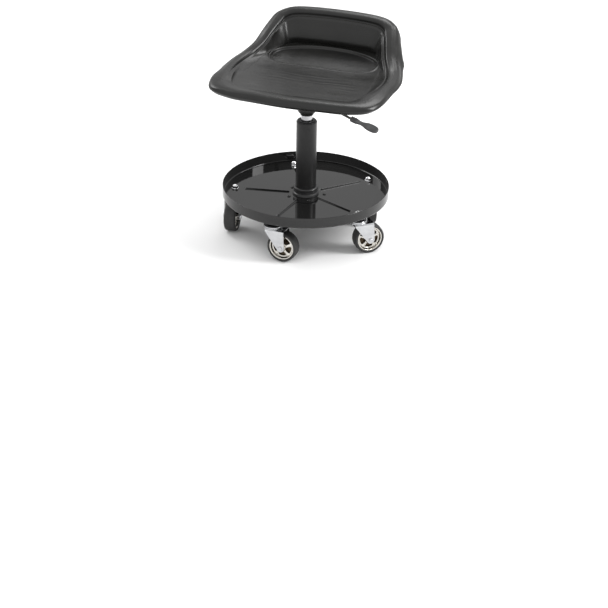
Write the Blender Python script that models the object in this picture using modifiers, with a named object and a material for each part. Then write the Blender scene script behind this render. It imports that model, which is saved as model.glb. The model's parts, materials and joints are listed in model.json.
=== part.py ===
"""Pneumatic roller shop seat: a moulded low-back seat on a gas lift, over a round tool tray on five casters.

Metres, +Z up. The seat faces -Y and its height lever points to +X. The floor is Z = 0 and the origin is
the middle of the object's footprint; every piece hangs from an empty on the column's axis.
"""

import math

import bmesh
import bpy
from mathutils import Matrix, Vector

# Places
COLUMN_X = 0.0
COLUMN_Y = -0.02815
GAP = 0.0003  # clearance between touching pieces

# Tray
TRAY_R = 0.203
TRAY_RIM_Z = 0.125
TRAY_FLOOR_Z = 0.100
TRAY_SHEET = 0.0015
TRAY_BEND = 0.006
RIB_INNER_R = 0.040
RIB_OUTER_R = 0.152
RIB_HALF_WIDTH = 0.0021
RIB_DEPTH = 0.0007

# Column and gas lift
COLUMN_R = 0.025
COLUMN_WALL = 0.0022
COLUMN_BOTTOM_Z = 0.0885
COLUMN_TOP_Z = 0.290
COLLAR_R = 0.0305
COLLAR_TOP_Z = 0.121
HUB_PLATE_R = 0.060
HUB_PLATE_SHEET = 0.0027
HUB_SCREW_CIRCLE_R = 0.046
BUSHING_LENGTH = 0.058
CYLINDER_R = 0.014
CYLINDER_WALL = 0.0015
CYLINDER_TOP_Z = 0.3425
ROD_R = 0.005
ROD_NECK_R = 0.004
ROD_TOP_Z = 0.300
PISTON_HEIGHT = 0.010
LIFT_TRAVEL = 0.120

# Casters
CASTER_COUNT = 5
CASTER_CIRCLE_R = 0.175
CASTER_FIRST_ANGLE = 46.6
TRAIL_ANGLES = (296.0, 205.0, 277.0, 356.0, 39.0)  # which way each wheel trails from its swivel axis
TRAIL = 0.0275
WHEEL_R = 0.0375
WHEEL_HALF_WIDTH = 0.015
RIM_R = 0.0308
AXLE_R = 0.0035
FORK_SHEET = 0.0022
FORK_TOP_Z = 0.0811
FORK_INNER_Y = 0.0172
STEM_R = 0.004

# Seat mechanism and lever
SOCKET_R = 0.024
SOCKET_BOTTOM_Z = 0.307
HOUSING_LOW = Vector((-0.032, -0.030, 0.3447))
HOUSING_HIGH = Vector((0.038, 0.030, 0.3689))
HOUSING_SHEET = 0.002
SEAT_PLATE_HALF = 0.075
SEAT_PLATE_SHEET = 0.0025
SEAT_BOLT_PITCH = 0.115
LEVER_PIVOT_X = 0.018
LEVER_Z = 0.352
LEVER_ROD_R = 0.003
LEVER_SLOT_HALF = 0.0055
HANDLE_START = Vector((0.1105, 0.0, 0.3115))
HANDLE_SLOPE = math.radians(18)
HANDLE_TWIST = math.radians(30)  # the paddle's front edge is the lower one
HANDLE_LENGTH = 0.0725
PIVOT_PIN_R = 0.002
RELEASE_PIN_R = 0.003

# Seat
SEAT_UNDER_Z = 0.372
SEAT_STATIONS = 22  # sections round each half of the seat

HUB_PLATE_TOP_Z = TRAY_FLOOR_Z - TRAY_SHEET - GAP
HUB_PLATE_BOTTOM_Z = HUB_PLATE_TOP_Z - HUB_PLATE_SHEET
END_CAP_TOP_Z = COLUMN_BOTTOM_Z + 0.004
BEARING_TOP_Z = 0.0978
BUMPER_TOP_Z = 0.1081
CYLINDER_BOTTOM_Z = BUMPER_TOP_Z + GAP
SEAT_PLATE_TOP_Z = SEAT_UNDER_Z - GAP
SEAT_PLATE_BOTTOM_Z = SEAT_PLATE_TOP_Z - SEAT_PLATE_SHEET
RELEASE_PIN_TOP_Z = LEVER_Z - LEVER_ROD_R - GAP


def clear_scene():
    for obj in list(bpy.data.objects):
        bpy.data.objects.remove(obj, do_unlink=True)


def new_collection(name):
    collection = bpy.data.collections.new(name)
    bpy.context.scene.collection.children.link(collection)
    return collection


clear_scene()
PARTS = new_collection("roller_seat")
CUTTERS = new_collection("cutters")
CUTTERS.hide_render = True


def make_material(name, color, roughness, metallic=0.0):
    material = bpy.data.materials.new(name)
    material.use_nodes = True
    shader = material.node_tree.nodes["Principled BSDF"]
    shader.inputs["Base Color"].default_value = (*color, 1.0)
    shader.inputs["Roughness"].default_value = roughness
    shader.inputs["Metallic"].default_value = metallic
    return material


MATERIALS = {
    "black_enamel": make_material("black_enamel", (0.010, 0.010, 0.010), 0.12),
    "satin_black_steel": make_material("satin_black_steel", (0.015, 0.015, 0.016), 0.38),
    "black_plastic": make_material("black_plastic", (0.020, 0.020, 0.021), 0.50),
    "seat_foam": make_material("seat_foam", (0.035, 0.035, 0.037), 0.48),
    "chrome": make_material("chrome", (0.80, 0.80, 0.81), 0.08, 1.0),
    "zinc_plate": make_material("zinc_plate", (0.66, 0.67, 0.69), 0.34, 1.0),
    "tyre_rubber": make_material("tyre_rubber", (0.022, 0.022, 0.022), 0.62),
    "bare_steel": make_material("bare_steel", (0.50, 0.50, 0.51), 0.30, 1.0),
    "bumper_rubber": make_material("bumper_rubber", (0.030, 0.030, 0.030), 0.80),
}


def add_empty(name, location, parent=None, turn=0.0):
    empty = bpy.data.objects.new(name, None)
    PARTS.objects.link(empty)
    empty.parent = parent
    empty.location = location
    empty.rotation_euler.z = turn
    return empty


def add_piece(name, mesh, material, parent, location=(0, 0, 0), rotation=(0, 0, 0)):
    """A named sub-part. A material of None makes it a cutter."""
    obj = bpy.data.objects.new(name, mesh)
    (PARTS if material else CUTTERS).objects.link(obj)
    if material:
        mesh.materials.append(MATERIALS[material])
    else:
        obj.hide_render = True
        obj.display_type = "WIRE"
    obj.parent = parent
    obj.location = location
    obj.rotation_euler = rotation
    return obj


def shade_round(mesh, angle=35):
    mesh.shade_smooth()
    mesh.set_sharp_from_angle(angle=math.radians(angle))


def mesh_from(build):
    """A mesh filled by build(bm), with its normals facing out."""
    mesh = bpy.data.meshes.new("shape")
    bm = bmesh.new()
    build(bm)
    bmesh.ops.recalc_face_normals(bm, faces=bm.faces)
    bm.to_mesh(mesh)
    bm.free()
    return mesh


def turned(name, profile, steps, material, parent, location=(0, 0, 0), rotation=(0, 0, 0)):
    """A shape turned about Z from (radius, height) points, which run down the outer side."""
    mesh = bpy.data.meshes.new(name)
    closed = min(radius for radius, _ in profile) > 0
    count = len(profile)
    edges = [(i, i + 1) for i in range(count - 1)] + ([(count - 1, 0)] if closed else [])
    mesh.from_pydata([(radius, 0, height) for radius, height in profile], edges, [])
    obj = add_piece(name, mesh, material, parent, location, rotation)
    screw = obj.modifiers.new("turn", "SCREW")
    screw.axis = "Z"
    screw.steps = steps
    screw.render_steps = steps
    screw.use_merge_vertices = True
    screw.merge_threshold = 1e-6
    screw.use_smooth_shade = steps > 6
    return obj


def ring_profile(inner, outer, low, high):
    return [(outer, high), (outer, low), (inner, low), (inner, high)]


def box_mesh(low, high):
    low, high = Vector(low), Vector(high)
    size = Matrix.Diagonal((*(high - low), 1.0))
    place = Matrix.Translation((low + high) / 2) @ size
    return mesh_from(lambda bm: bmesh.ops.create_cube(bm, size=1.0, matrix=place))


def cylinder_mesh(radius, low, high, segments=16):
    def build(bm):
        bmesh.ops.create_cone(
            bm, cap_ends=True, segments=segments, radius1=radius, radius2=radius,
            depth=high - low, matrix=Matrix.Translation((0, 0, (low + high) / 2)),
        )

    return mesh_from(build)


def arc(centre_x, centre_y, radius, start, end, steps):
    """Points on an arc, with its angles in degrees."""
    angles = [math.radians(start + (end - start) * i / steps) for i in range(steps + 1)]
    return [(centre_x + radius * math.cos(a), centre_y + radius * math.sin(a)) for a in angles]


def mesh_of_curve(curve):
    """The curve's evaluated mesh, welded where its caps meet its sides."""
    helper = bpy.data.objects.new("curve_helper", curve)
    bpy.context.scene.collection.objects.link(helper)
    bpy.context.view_layer.update()
    graph = bpy.context.evaluated_depsgraph_get()
    mesh = bpy.data.meshes.new_from_object(helper.evaluated_get(graph))
    bpy.data.objects.remove(helper, do_unlink=True)
    bm = bmesh.new()
    bm.from_mesh(mesh)
    bmesh.ops.remove_doubles(bm, verts=bm.verts, dist=1e-6)
    bmesh.ops.recalc_face_normals(bm, faces=bm.faces)
    bm.to_mesh(mesh)
    bm.free()
    mesh.materials.clear()
    return mesh


def outline_mesh(points, half_thickness, orient=None):
    """A flat outline in XY, thickened both ways along Z and then turned by orient."""
    curve = bpy.data.curves.new("outline", "CURVE")
    curve.dimensions = "2D"
    curve.fill_mode = "BOTH"
    curve.extrude = half_thickness
    spline = curve.splines.new("POLY")
    spline.points.add(len(points) - 1)
    for point, (x, y) in zip(spline.points, points):
        point.co = (x, y, 0, 1)
    spline.use_cyclic_u = True
    mesh = mesh_of_curve(curve)
    if orient:
        mesh.transform(orient)
    return mesh


def rod_mesh(points, radius, resolution=2):
    curve = bpy.data.curves.new("rod", "CURVE")
    curve.dimensions = "3D"
    curve.bevel_depth = radius
    curve.bevel_resolution = resolution
    curve.use_fill_caps = True
    spline = curve.splines.new("POLY")
    spline.points.add(len(points) - 1)
    for point, place in zip(spline.points, points):
        point.co = (*place, 1)
    return mesh_of_curve(curve)


def combine(obj, other, operation):
    """Joins, cuts or trims obj with a cutter object that shares its parent."""
    step = obj.modifiers.new(operation.lower(), "BOOLEAN")
    step.operation = operation
    step.solver = "EXACT"
    step.object = other


def drill(obj, name, radius, low, high, place=(0, 0), segments=16):
    """A hole through obj along Z, in the frame of its parent."""
    hole = add_piece(name, cylinder_mesh(radius, low, high, segments), None, obj.parent, (*place, 0))
    combine(obj, hole, "DIFFERENCE")


def circle_places(radius, first_angle, count=CASTER_COUNT):
    """(x, y, angle) of each place round the column."""
    angles = [math.radians(first_angle + 360 * i / count) for i in range(count)]
    return [(radius * math.cos(a), radius * math.sin(a), a) for a in angles]


CASTER_PLACES = circle_places(CASTER_CIRCLE_R, CASTER_FIRST_ANGLE)
SCREW_PLACES = circle_places(HUB_SCREW_CIRCLE_R, CASTER_FIRST_ANGLE + 36)


def add_tray(base):
    under = TRAY_FLOOR_Z - TRAY_SHEET
    bend_x = TRAY_R - TRAY_BEND
    outer_bend = arc(bend_x, under + TRAY_BEND, TRAY_BEND, 0, -90, 2)
    inner_bend = arc(bend_x, under + TRAY_BEND, TRAY_BEND - TRAY_SHEET, -90, 0, 2)
    hole = COLUMN_R + GAP
    profile = [(TRAY_R, TRAY_RIM_Z), *outer_bend, (hole, under), (hole, TRAY_FLOOR_Z), *inner_bend]
    profile.append((TRAY_R - TRAY_SHEET, TRAY_RIM_Z))
    tray = turned("tool_tray", profile, 48, "black_enamel", base)
    for i, (x, y, angle) in enumerate(CASTER_PLACES, 1):
        drill(tray, f"tray_stem_hole_{i}", STEM_R + GAP, under - 0.01, TRAY_FLOOR_Z + 0.01, (x, y), 12)
        low = (RIB_INNER_R, -RIB_HALF_WIDTH, TRAY_FLOOR_Z - RIB_DEPTH)
        high = (RIB_OUTER_R, RIB_HALF_WIDTH, TRAY_FLOOR_Z + 0.01)
        rib = add_piece(f"tray_rib_cut_{i}", box_mesh(low, high), None, base, rotation=(0, 0, angle))
        combine(tray, rib, "DIFFERENCE")
    for i, (x, y, _) in enumerate(SCREW_PLACES, 1):
        drill(tray, f"tray_screw_hole_{i}", 0.0023, under - 0.01, TRAY_FLOOR_Z + 0.01, (x, y), 8)


def add_hub(base):
    plate_profile = ring_profile(COLUMN_R + GAP, HUB_PLATE_R, HUB_PLATE_BOTTOM_Z, HUB_PLATE_TOP_Z)
    plate = turned("hub_plate", plate_profile, 30, "satin_black_steel", base)
    head_low = TRAY_FLOOR_Z + GAP
    tip = HUB_PLATE_BOTTOM_Z - 0.003
    screw_profile = [
        (0, head_low + 0.0023), (0.0025, head_low + 0.0023), (0.004, head_low + 0.0012),
        (0.004, head_low), (0.002, head_low), (0.002, tip), (0, tip),
    ]
    for i, (x, y, _) in enumerate(SCREW_PLACES, 1):
        drill(plate, f"plate_screw_hole_{i}", 0.0023, tip, head_low, (x, y), 8)
        turned(f"hub_screw_{i}", screw_profile, 10, "satin_black_steel", base, (x, y, 0))
    foot = TRAY_FLOOR_Z + GAP
    collar_profile = [
        (COLLAR_R - 0.002, COLLAR_TOP_Z), (COLLAR_R, COLLAR_TOP_Z - 0.002),
        (COLLAR_R, COLLAR_TOP_Z - 0.0055), (COLLAR_R - 0.0012, COLLAR_TOP_Z - 0.007),
        (COLLAR_R - 0.0012, foot + 0.007), (COLLAR_R + 0.0015, foot + 0.003),
        (COLLAR_R + 0.0015, foot), (COLUMN_R + GAP, foot), (COLUMN_R + GAP, COLLAR_TOP_Z),
    ]
    turned("column_collar", collar_profile, 24, "black_plastic", base)


def add_column(base):
    tube_profile = ring_profile(COLUMN_R - COLUMN_WALL, COLUMN_R, COLUMN_BOTTOM_Z, COLUMN_TOP_Z)
    turned("column_tube", tube_profile, 28, "satin_black_steel", base)
    bore = COLUMN_R - COLUMN_WALL
    flange_low = COLUMN_TOP_Z + GAP
    bushing_profile = [
        (CYLINDER_R + 0.0015, flange_low + 0.0025), (COLUMN_R - 0.0015, flange_low + 0.0013),
        (COLUMN_R - 0.0015, flange_low), (bore - GAP, flange_low),
        (bore - GAP, COLUMN_TOP_Z - BUSHING_LENGTH), (CYLINDER_R + GAP, COLUMN_TOP_Z - BUSHING_LENGTH),
        (CYLINDER_R + GAP, flange_low + 0.0025),
    ]
    turned("column_bushing", bushing_profile, 24, "black_plastic", base)
    cap_profile = ring_profile(ROD_NECK_R + GAP, bore - GAP, COLUMN_BOTTOM_Z, END_CAP_TOP_Z)
    turned("column_end_cap", cap_profile, 16, "satin_black_steel", base)
    race_low = END_CAP_TOP_Z + GAP
    race_profile = ring_profile(ROD_NECK_R + GAP, 0.010, race_low, race_low + 0.0012)
    turned("thrust_bearing_race", race_profile, 16, "bare_steel", base)


def add_lift_rod(rod_axis):
    bearing_low = END_CAP_TOP_Z + 0.0018
    bearing_profile = ring_profile(ROD_NECK_R + GAP, 0.0098, bearing_low, BEARING_TOP_Z)
    turned("thrust_bearing_cage", bearing_profile, 16, "bare_steel", rod_axis)
    bumper_profile = ring_profile(ROD_R + GAP, 0.0095, BEARING_TOP_Z + GAP, BUMPER_TOP_Z)
    turned("lift_bumper", bumper_profile, 16, "bumper_rubber", rod_axis)
    groove_high = COLUMN_BOTTOM_Z
    groove_low = groove_high - 0.0019
    groove_r = ROD_NECK_R - 0.0006
    rod_profile = [
        (0, ROD_TOP_Z), (CYLINDER_R - CYLINDER_WALL - GAP, ROD_TOP_Z),
        (CYLINDER_R - CYLINDER_WALL - GAP, ROD_TOP_Z - PISTON_HEIGHT),
        (ROD_R, ROD_TOP_Z - PISTON_HEIGHT), (ROD_R, BEARING_TOP_Z + GAP),
        (ROD_NECK_R, BEARING_TOP_Z + GAP), (ROD_NECK_R, groove_high), (groove_r, groove_high),
        (groove_r, groove_low), (ROD_NECK_R, groove_low), (ROD_NECK_R, groove_low - 0.002),
        (0, groove_low - 0.002),
    ]
    turned("piston_rod", rod_profile, 16, "chrome", rod_axis)
    clip_middle = (groove_low + groove_high) / 2
    clip_outline = arc(0, 0, 0.0085, 40, 320, 12) + arc(0, 0, groove_r + GAP, 320, 40, 12)
    place = Matrix.Translation((0, 0, clip_middle))
    add_piece("rod_retaining_clip", outline_mesh(clip_outline, 0.0007, place), "bare_steel", rod_axis)


def add_lift_cylinder(seat_axis):
    inner = CYLINDER_R - CYLINDER_WALL
    pin_hole = RELEASE_PIN_R + GAP
    cylinder_profile = [
        (CYLINDER_R - 0.001, CYLINDER_TOP_Z), (CYLINDER_R, CYLINDER_TOP_Z - 0.001),
        (CYLINDER_R, CYLINDER_BOTTOM_Z), (inner, CYLINDER_BOTTOM_Z),
        (inner, CYLINDER_TOP_Z - 0.004), (pin_hole, CYLINDER_TOP_Z - 0.004),
        (pin_hole, CYLINDER_TOP_Z),
    ]
    turned("gas_cylinder", cylinder_profile, 24, "chrome", seat_axis)
    guide_low = CYLINDER_BOTTOM_Z + GAP
    guide_profile = ring_profile(ROD_R + GAP, inner - GAP, guide_low, guide_low + 0.012)
    turned("rod_guide", guide_profile, 16, "black_plastic", seat_axis)
    socket_top = HOUSING_LOW.z - GAP
    socket_profile = [
        (SOCKET_R, socket_top), (SOCKET_R, 0.3215), (0.0225, 0.3165), (0.0185, 0.3115),
        (0.0160, 0.3085), (0.0155, SOCKET_BOTTOM_Z), (CYLINDER_R + GAP, SOCKET_BOTTOM_Z),
        (CYLINDER_R + GAP, socket_top),
    ]
    turned("cylinder_socket", socket_profile, 24, "satin_black_steel", seat_axis)


def add_release_pin(pin_axis):
    mesh = cylinder_mesh(RELEASE_PIN_R, CYLINDER_TOP_Z - 0.0125, RELEASE_PIN_TOP_Z, 12)
    add_piece("release_pin", mesh, "bare_steel", pin_axis)


def add_seat_mechanism(seat_axis):
    sheet = Vector((HOUSING_SHEET, HOUSING_SHEET, HOUSING_SHEET))
    housing_mesh = box_mesh(HOUSING_LOW, HOUSING_HIGH)
    housing = add_piece("lever_housing", housing_mesh, "satin_black_steel", seat_axis)
    inside_high = HOUSING_HIGH - sheet
    inside_high.z = HOUSING_HIGH.z + 0.01
    inside = add_piece("housing_inside", box_mesh(HOUSING_LOW + sheet, inside_high), None, seat_axis)
    combine(housing, inside, "DIFFERENCE")
    slot_low = (-0.010, -LEVER_SLOT_HALF, HOUSING_LOW.z - 0.01)
    slot_high = (HOUSING_HIGH.x + 0.01, LEVER_SLOT_HALF, HOUSING_HIGH.z - 0.0025)
    slot = add_piece("housing_lever_slot", box_mesh(slot_low, slot_high), None, seat_axis)
    combine(housing, slot, "DIFFERENCE")
    pin_hole = cylinder_mesh(PIVOT_PIN_R + GAP, -0.04, 0.04, 12)
    across = (math.pi / 2, 0, 0)
    pivot = (LEVER_PIVOT_X, 0, LEVER_Z)
    hole = add_piece("housing_pin_hole", pin_hole, None, seat_axis, pivot, across)
    combine(housing, hole, "DIFFERENCE")
    head_start = HOUSING_HIGH.y + GAP
    head_r = PIVOT_PIN_R + 0.0015
    pin_profile = [
        (0, head_start + 0.0015), (head_r, head_start + 0.0015), (head_r, head_start),
        (PIVOT_PIN_R, head_start), (PIVOT_PIN_R, -head_start), (head_r, -head_start),
        (head_r, -head_start - 0.0015), (0, -head_start - 0.0015),
    ]
    turned("lever_pivot_pin", pin_profile, 12, "bare_steel", seat_axis, pivot, across)

    half, corner = SEAT_PLATE_HALF, 0.012
    outline = []
    for i, (x, y) in enumerate(((1, 1), (-1, 1), (-1, -1), (1, -1))):
        outline += arc(x * (half - corner), y * (half - corner), corner, 90 * i, 90 * i + 90, 4)
    plate_middle = Matrix.Translation((0, 0, (SEAT_PLATE_TOP_Z + SEAT_PLATE_BOTTOM_Z) / 2))
    plate_mesh = outline_mesh(outline, SEAT_PLATE_SHEET / 2, plate_middle)
    plate = add_piece("seat_plate", plate_mesh, "satin_black_steel", seat_axis)
    return plate


def seat_bolt_places():
    reach = SEAT_BOLT_PITCH / 2
    return [(x * reach, y * reach) for x, y in ((1, 1), (-1, 1), (-1, -1), (1, -1))]


def add_seat_bolts(plate, seat, seat_axis):
    head_top = SEAT_PLATE_BOTTOM_Z - GAP
    tip = SEAT_UNDER_Z + 0.014
    bolt_profile = [
        (0, tip), (0.003, tip), (0.003, head_top), (0.0065, head_top),
        (0.0065, head_top - 0.0034), (0.0055, head_top - 0.0044), (0, head_top - 0.0044),
    ]
    for i, (x, y) in enumerate(seat_bolt_places(), 1):
        drill(plate, f"plate_bolt_hole_{i}", 0.0033, head_top, SEAT_UNDER_Z, (x, y), 12)
        drill(seat, f"seat_bolt_hole_{i}", 0.0033, SEAT_UNDER_Z - 0.01, tip + 0.001, (x, y), 12)
        turned(f"seat_bolt_{i}", bolt_profile, 12, "bare_steel", seat_axis, (x, y, 0))


def add_lever(lever_axis):
    """The lever's own frame is at its pivot, so its pieces are moved back by the pivot's place."""
    back = Matrix.Translation((-LEVER_PIVOT_X, 0, -LEVER_Z))
    slope = Vector((math.cos(HANDLE_SLOPE), 0, -math.sin(HANDLE_SLOPE)))
    route = [
        (-0.006, 0, LEVER_Z), (LEVER_PIVOT_X, 0, LEVER_Z), (0.026, 0, LEVER_Z - 0.0027),
        (0.077, 0, 0.3254), (0.104, 0, 0.3141), tuple(HANDLE_START), tuple(HANDLE_START + slope * 0.018),
    ]
    shape = rod_mesh(route, LEVER_ROD_R, 3)
    shape.transform(back)
    rod = add_piece("lever_rod", shape, "bare_steel", lever_axis)
    across = (math.pi / 2, 0, 0)
    boss = add_piece("lever_boss", cylinder_mesh(0.005, -0.007, 0.007, 20), None, lever_axis, (0, 0, 0), across)
    combine(rod, boss, "UNION")
    bore_mesh = cylinder_mesh(PIVOT_PIN_R + GAP, -0.01, 0.01, 12)
    bore = add_piece("lever_bore", bore_mesh, None, lever_axis, (0, 0, 0), across)
    combine(rod, bore, "DIFFERENCE")

    tilt = Matrix.Translation(HANDLE_START) @ Matrix.Rotation(HANDLE_SLOPE, 4, "Y")
    tilt @= Matrix.Rotation(HANDLE_TWIST, 4, "X")
    neck_half, blade_half, blade_thick = 0.0058, 0.0105, 0.0028
    blade_end = HANDLE_LENGTH - blade_half
    outline = [(0.012, -neck_half), (0.030, -0.0062), (0.046, -blade_half)]
    outline += arc(blade_end, 0, blade_half, -90, 90, 10)
    outline += [(0.046, blade_half), (0.030, 0.0062), (0.012, neck_half)]
    blade = outline_mesh(outline, blade_thick, back @ tilt)
    handle = add_piece("lever_handle", blade, "black_plastic", lever_axis)
    neck_mesh = cylinder_mesh(neck_half, 0, 0.026, 20)
    neck_mesh.transform(back @ tilt @ Matrix.Rotation(math.pi / 2, 4, "Y"))
    neck = add_piece("handle_neck", neck_mesh, None, lever_axis)
    combine(handle, neck, "UNION")
    socket_mesh = cylinder_mesh(LEVER_ROD_R + GAP, -0.01, 0.0185, 16)
    socket_mesh.transform(back @ tilt @ Matrix.Rotation(math.pi / 2, 4, "Y"))
    socket = add_piece("handle_socket", socket_mesh, None, lever_axis)
    combine(handle, socket, "DIFFERENCE")


def smooth_step(low, high, value):
    t = min(max((value - low) / (high - low), 0.0), 1.0)
    return t * t * (3 - 2 * t)


def smooth_path(points, count):
    """count + 1 points along a Catmull-Rom curve through points, which mirrors at both ends."""
    mirrored = [Vector((-points[1][0], *points[1][1:]))] + [Vector(p) for p in points]
    mirrored.append(Vector((-points[-2][0], *points[-2][1:])))
    spans = len(points) - 1
    path = []
    for i in range(count + 1):
        place = min(i * spans / count, spans - 1e-9)
        k, t = int(place), place % 1.0
        a, b, c, d = mirrored[k:k + 4]
        path.append(0.5 * (2 * b + (c - a) * t + (2 * a - 5 * b + 4 * c - d) * t**2
                           + (3 * b - a - 3 * c + d) * t**3))
    return path


# Crown of the seat's rolled rim, from the front's middle round the right side to the back's middle
SEAT_CROWN = (
    (0, -0.148, 0.4035), (0.077, -0.143, 0.4035), (0.142, -0.136, 0.4035), (0.175, -0.110, 0.4045),
    (0.191, -0.066, 0.408), (0.198, -0.010, 0.409), (0.197, 0.046, 0.409), (0.185, 0.093, 0.4145),
    (0.169, 0.129, 0.430), (0.158, 0.160, 0.451), (0.149, 0.190, 0.469), (0.138, 0.214, 0.482),
    (0.101, 0.230, 0.491), (0, 0.236, 0.493),
)
SEAT_RIM_LOW_Z = 0.4035
SEAT_RISE = 0.0895
SEAT_WING_RISE = 0.060
SEAT_RINGS = ("dish_in", "dish", "foot", "wall", "lip", "crown", "edge", "side", "low", "under", "flat")


def seat_section(top, out):
    """The seat's section at one place of its crown: a point of each ring, out being the way outwards."""
    drop = top.z - SEAT_RIM_LOW_Z
    rise = smooth_step(0, SEAT_RISE, drop)
    wing = smooth_step(0, SEAT_WING_RISE, drop)
    nose = smooth_step(0, 0.11, -top.y)
    back = smooth_step(0.10, 0.19, top.y) * rise
    roll = 0.010 + 0.012 * nose
    front = smooth_step(-0.02, 0.12, -top.y)
    low_out = roll + 0.004 - 0.0025 * nose - 0.012 * front - 0.008 * back
    low_out += (0.0065 * (1 - front) + 0.0273 * wing) * (1 - back)

    def place(outwards, height):
        at = top + out * outwards
        return Vector((at.x, at.y, height))

    foot = place(-0.030 - 0.030 * rise, 0.399 + 0.026 * rise)
    return {
        "dish_in": Vector((foot.x * 0.40, foot.y * 0.40, 0.393)),
        "dish": Vector((foot.x * 0.84, foot.y * 0.84 + 0.004, 0.395 + 0.006 * rise)),
        "foot": foot,
        "wall": place(-0.022 - 0.002 * rise, top.z - 0.004 - 0.013 * rise),
        "lip": place(-0.010, top.z - 0.0012),
        "crown": top,
        "edge": place(0.85 * roll + 0.0043 + 0.003 * wing, top.z - 0.005 - 0.002 * wing),
        "side": place(roll + 0.0085 + 0.012 * wing * (1 - 0.6 * back), top.z - 0.0117 - 0.26 * drop),
        "low": place(low_out, 0.388 + 0.012 * wing + 0.0068 * (1 - front)),
        "under": place(roll - 0.014 - 0.020 * rise, 0.3815),
        "flat": Vector((foot.x * 0.66, foot.y * 0.66, SEAT_UNDER_Z)),
    }


def seat_rings():
    """Rings of the seat from its middle over the rim to the underside: each is half a ring, front to back."""
    crown = smooth_path(SEAT_CROWN, SEAT_STATIONS)
    rings = {name: [] for name in SEAT_RINGS}
    for i, top in enumerate(crown):
        before, after = crown[max(i - 1, 0)], crown[min(i + 1, SEAT_STATIONS)]
        along = (after - before).xy.normalized()
        if i in (0, SEAT_STATIONS):
            along = Vector((1, 0)) if i == 0 else Vector((-1, 0))
        section = seat_section(top, Vector((along.y, -along.x, 0)))
        for name in SEAT_RINGS:
            rings[name].append(section[name])
    return [rings[name] for name in SEAT_RINGS]


def add_seat(seat_axis):
    rings = seat_rings()

    def build(bm):
        loops = []
        for half in rings:
            other = [Vector((-p.x, p.y, p.z)) for p in reversed(half[1:-1])]
            loops.append([bm.verts.new(p) for p in half + other])
        for first, second in zip(loops, loops[1:]):
            for i in range(len(first)):
                j = (i + 1) % len(first)
                bm.faces.new((first[i], second[i], second[j], first[j]))
        bm.faces.new(loops[0])
        bm.faces.new(loops[-1])

    mesh = mesh_from(build)
    shade_round(mesh, 50)
    return add_piece("moulded_seat", mesh, "seat_foam", seat_axis)


def fork_outline_mesh():
    """Side outline of the fork, with the swivel axis at x = 0 and the wheel trailing along +X."""
    lobe = 0.0095
    outline = [(-0.013, FORK_TOP_Z + 0.01), (-0.013, 0.0762)]
    outline += arc(TRAIL, WHEEL_R, lobe, 205, 360, 5)
    outline += [(TRAIL + 0.0075, FORK_TOP_Z + 0.01)]
    return outline_mesh(outline, 0.05, Matrix.Rotation(math.pi / 2, 4, "X"))


def channel_mesh():
    """The inverted U that the fork is bent from, along X."""
    outer, bend = FORK_INNER_Y + FORK_SHEET, 0.004
    bottom = WHEEL_R - 0.02
    inner_top = FORK_TOP_Z - FORK_SHEET
    outline = [(outer, bottom), *arc(outer - bend, FORK_TOP_Z - bend, bend, 0, 90, 2)]
    outline += [*arc(bend - outer, FORK_TOP_Z - bend, bend, 90, 180, 2), (-outer, bottom)]
    inner_bend = bend - FORK_SHEET
    outline += [(-FORK_INNER_Y, bottom), *arc(inner_bend - FORK_INNER_Y, inner_top - inner_bend,
                                              inner_bend, 180, 90, 2)]
    outline += [*arc(FORK_INNER_Y - inner_bend, inner_top - inner_bend, inner_bend, 90, 0, 2)]
    outline += [(FORK_INNER_Y, bottom)]
    stand = Matrix(((0, 0, 1, 0), (1, 0, 0, 0), (0, 1, 0, 0), (0, 0, 0, 1)))
    return outline_mesh(outline, 0.06, stand)


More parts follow.
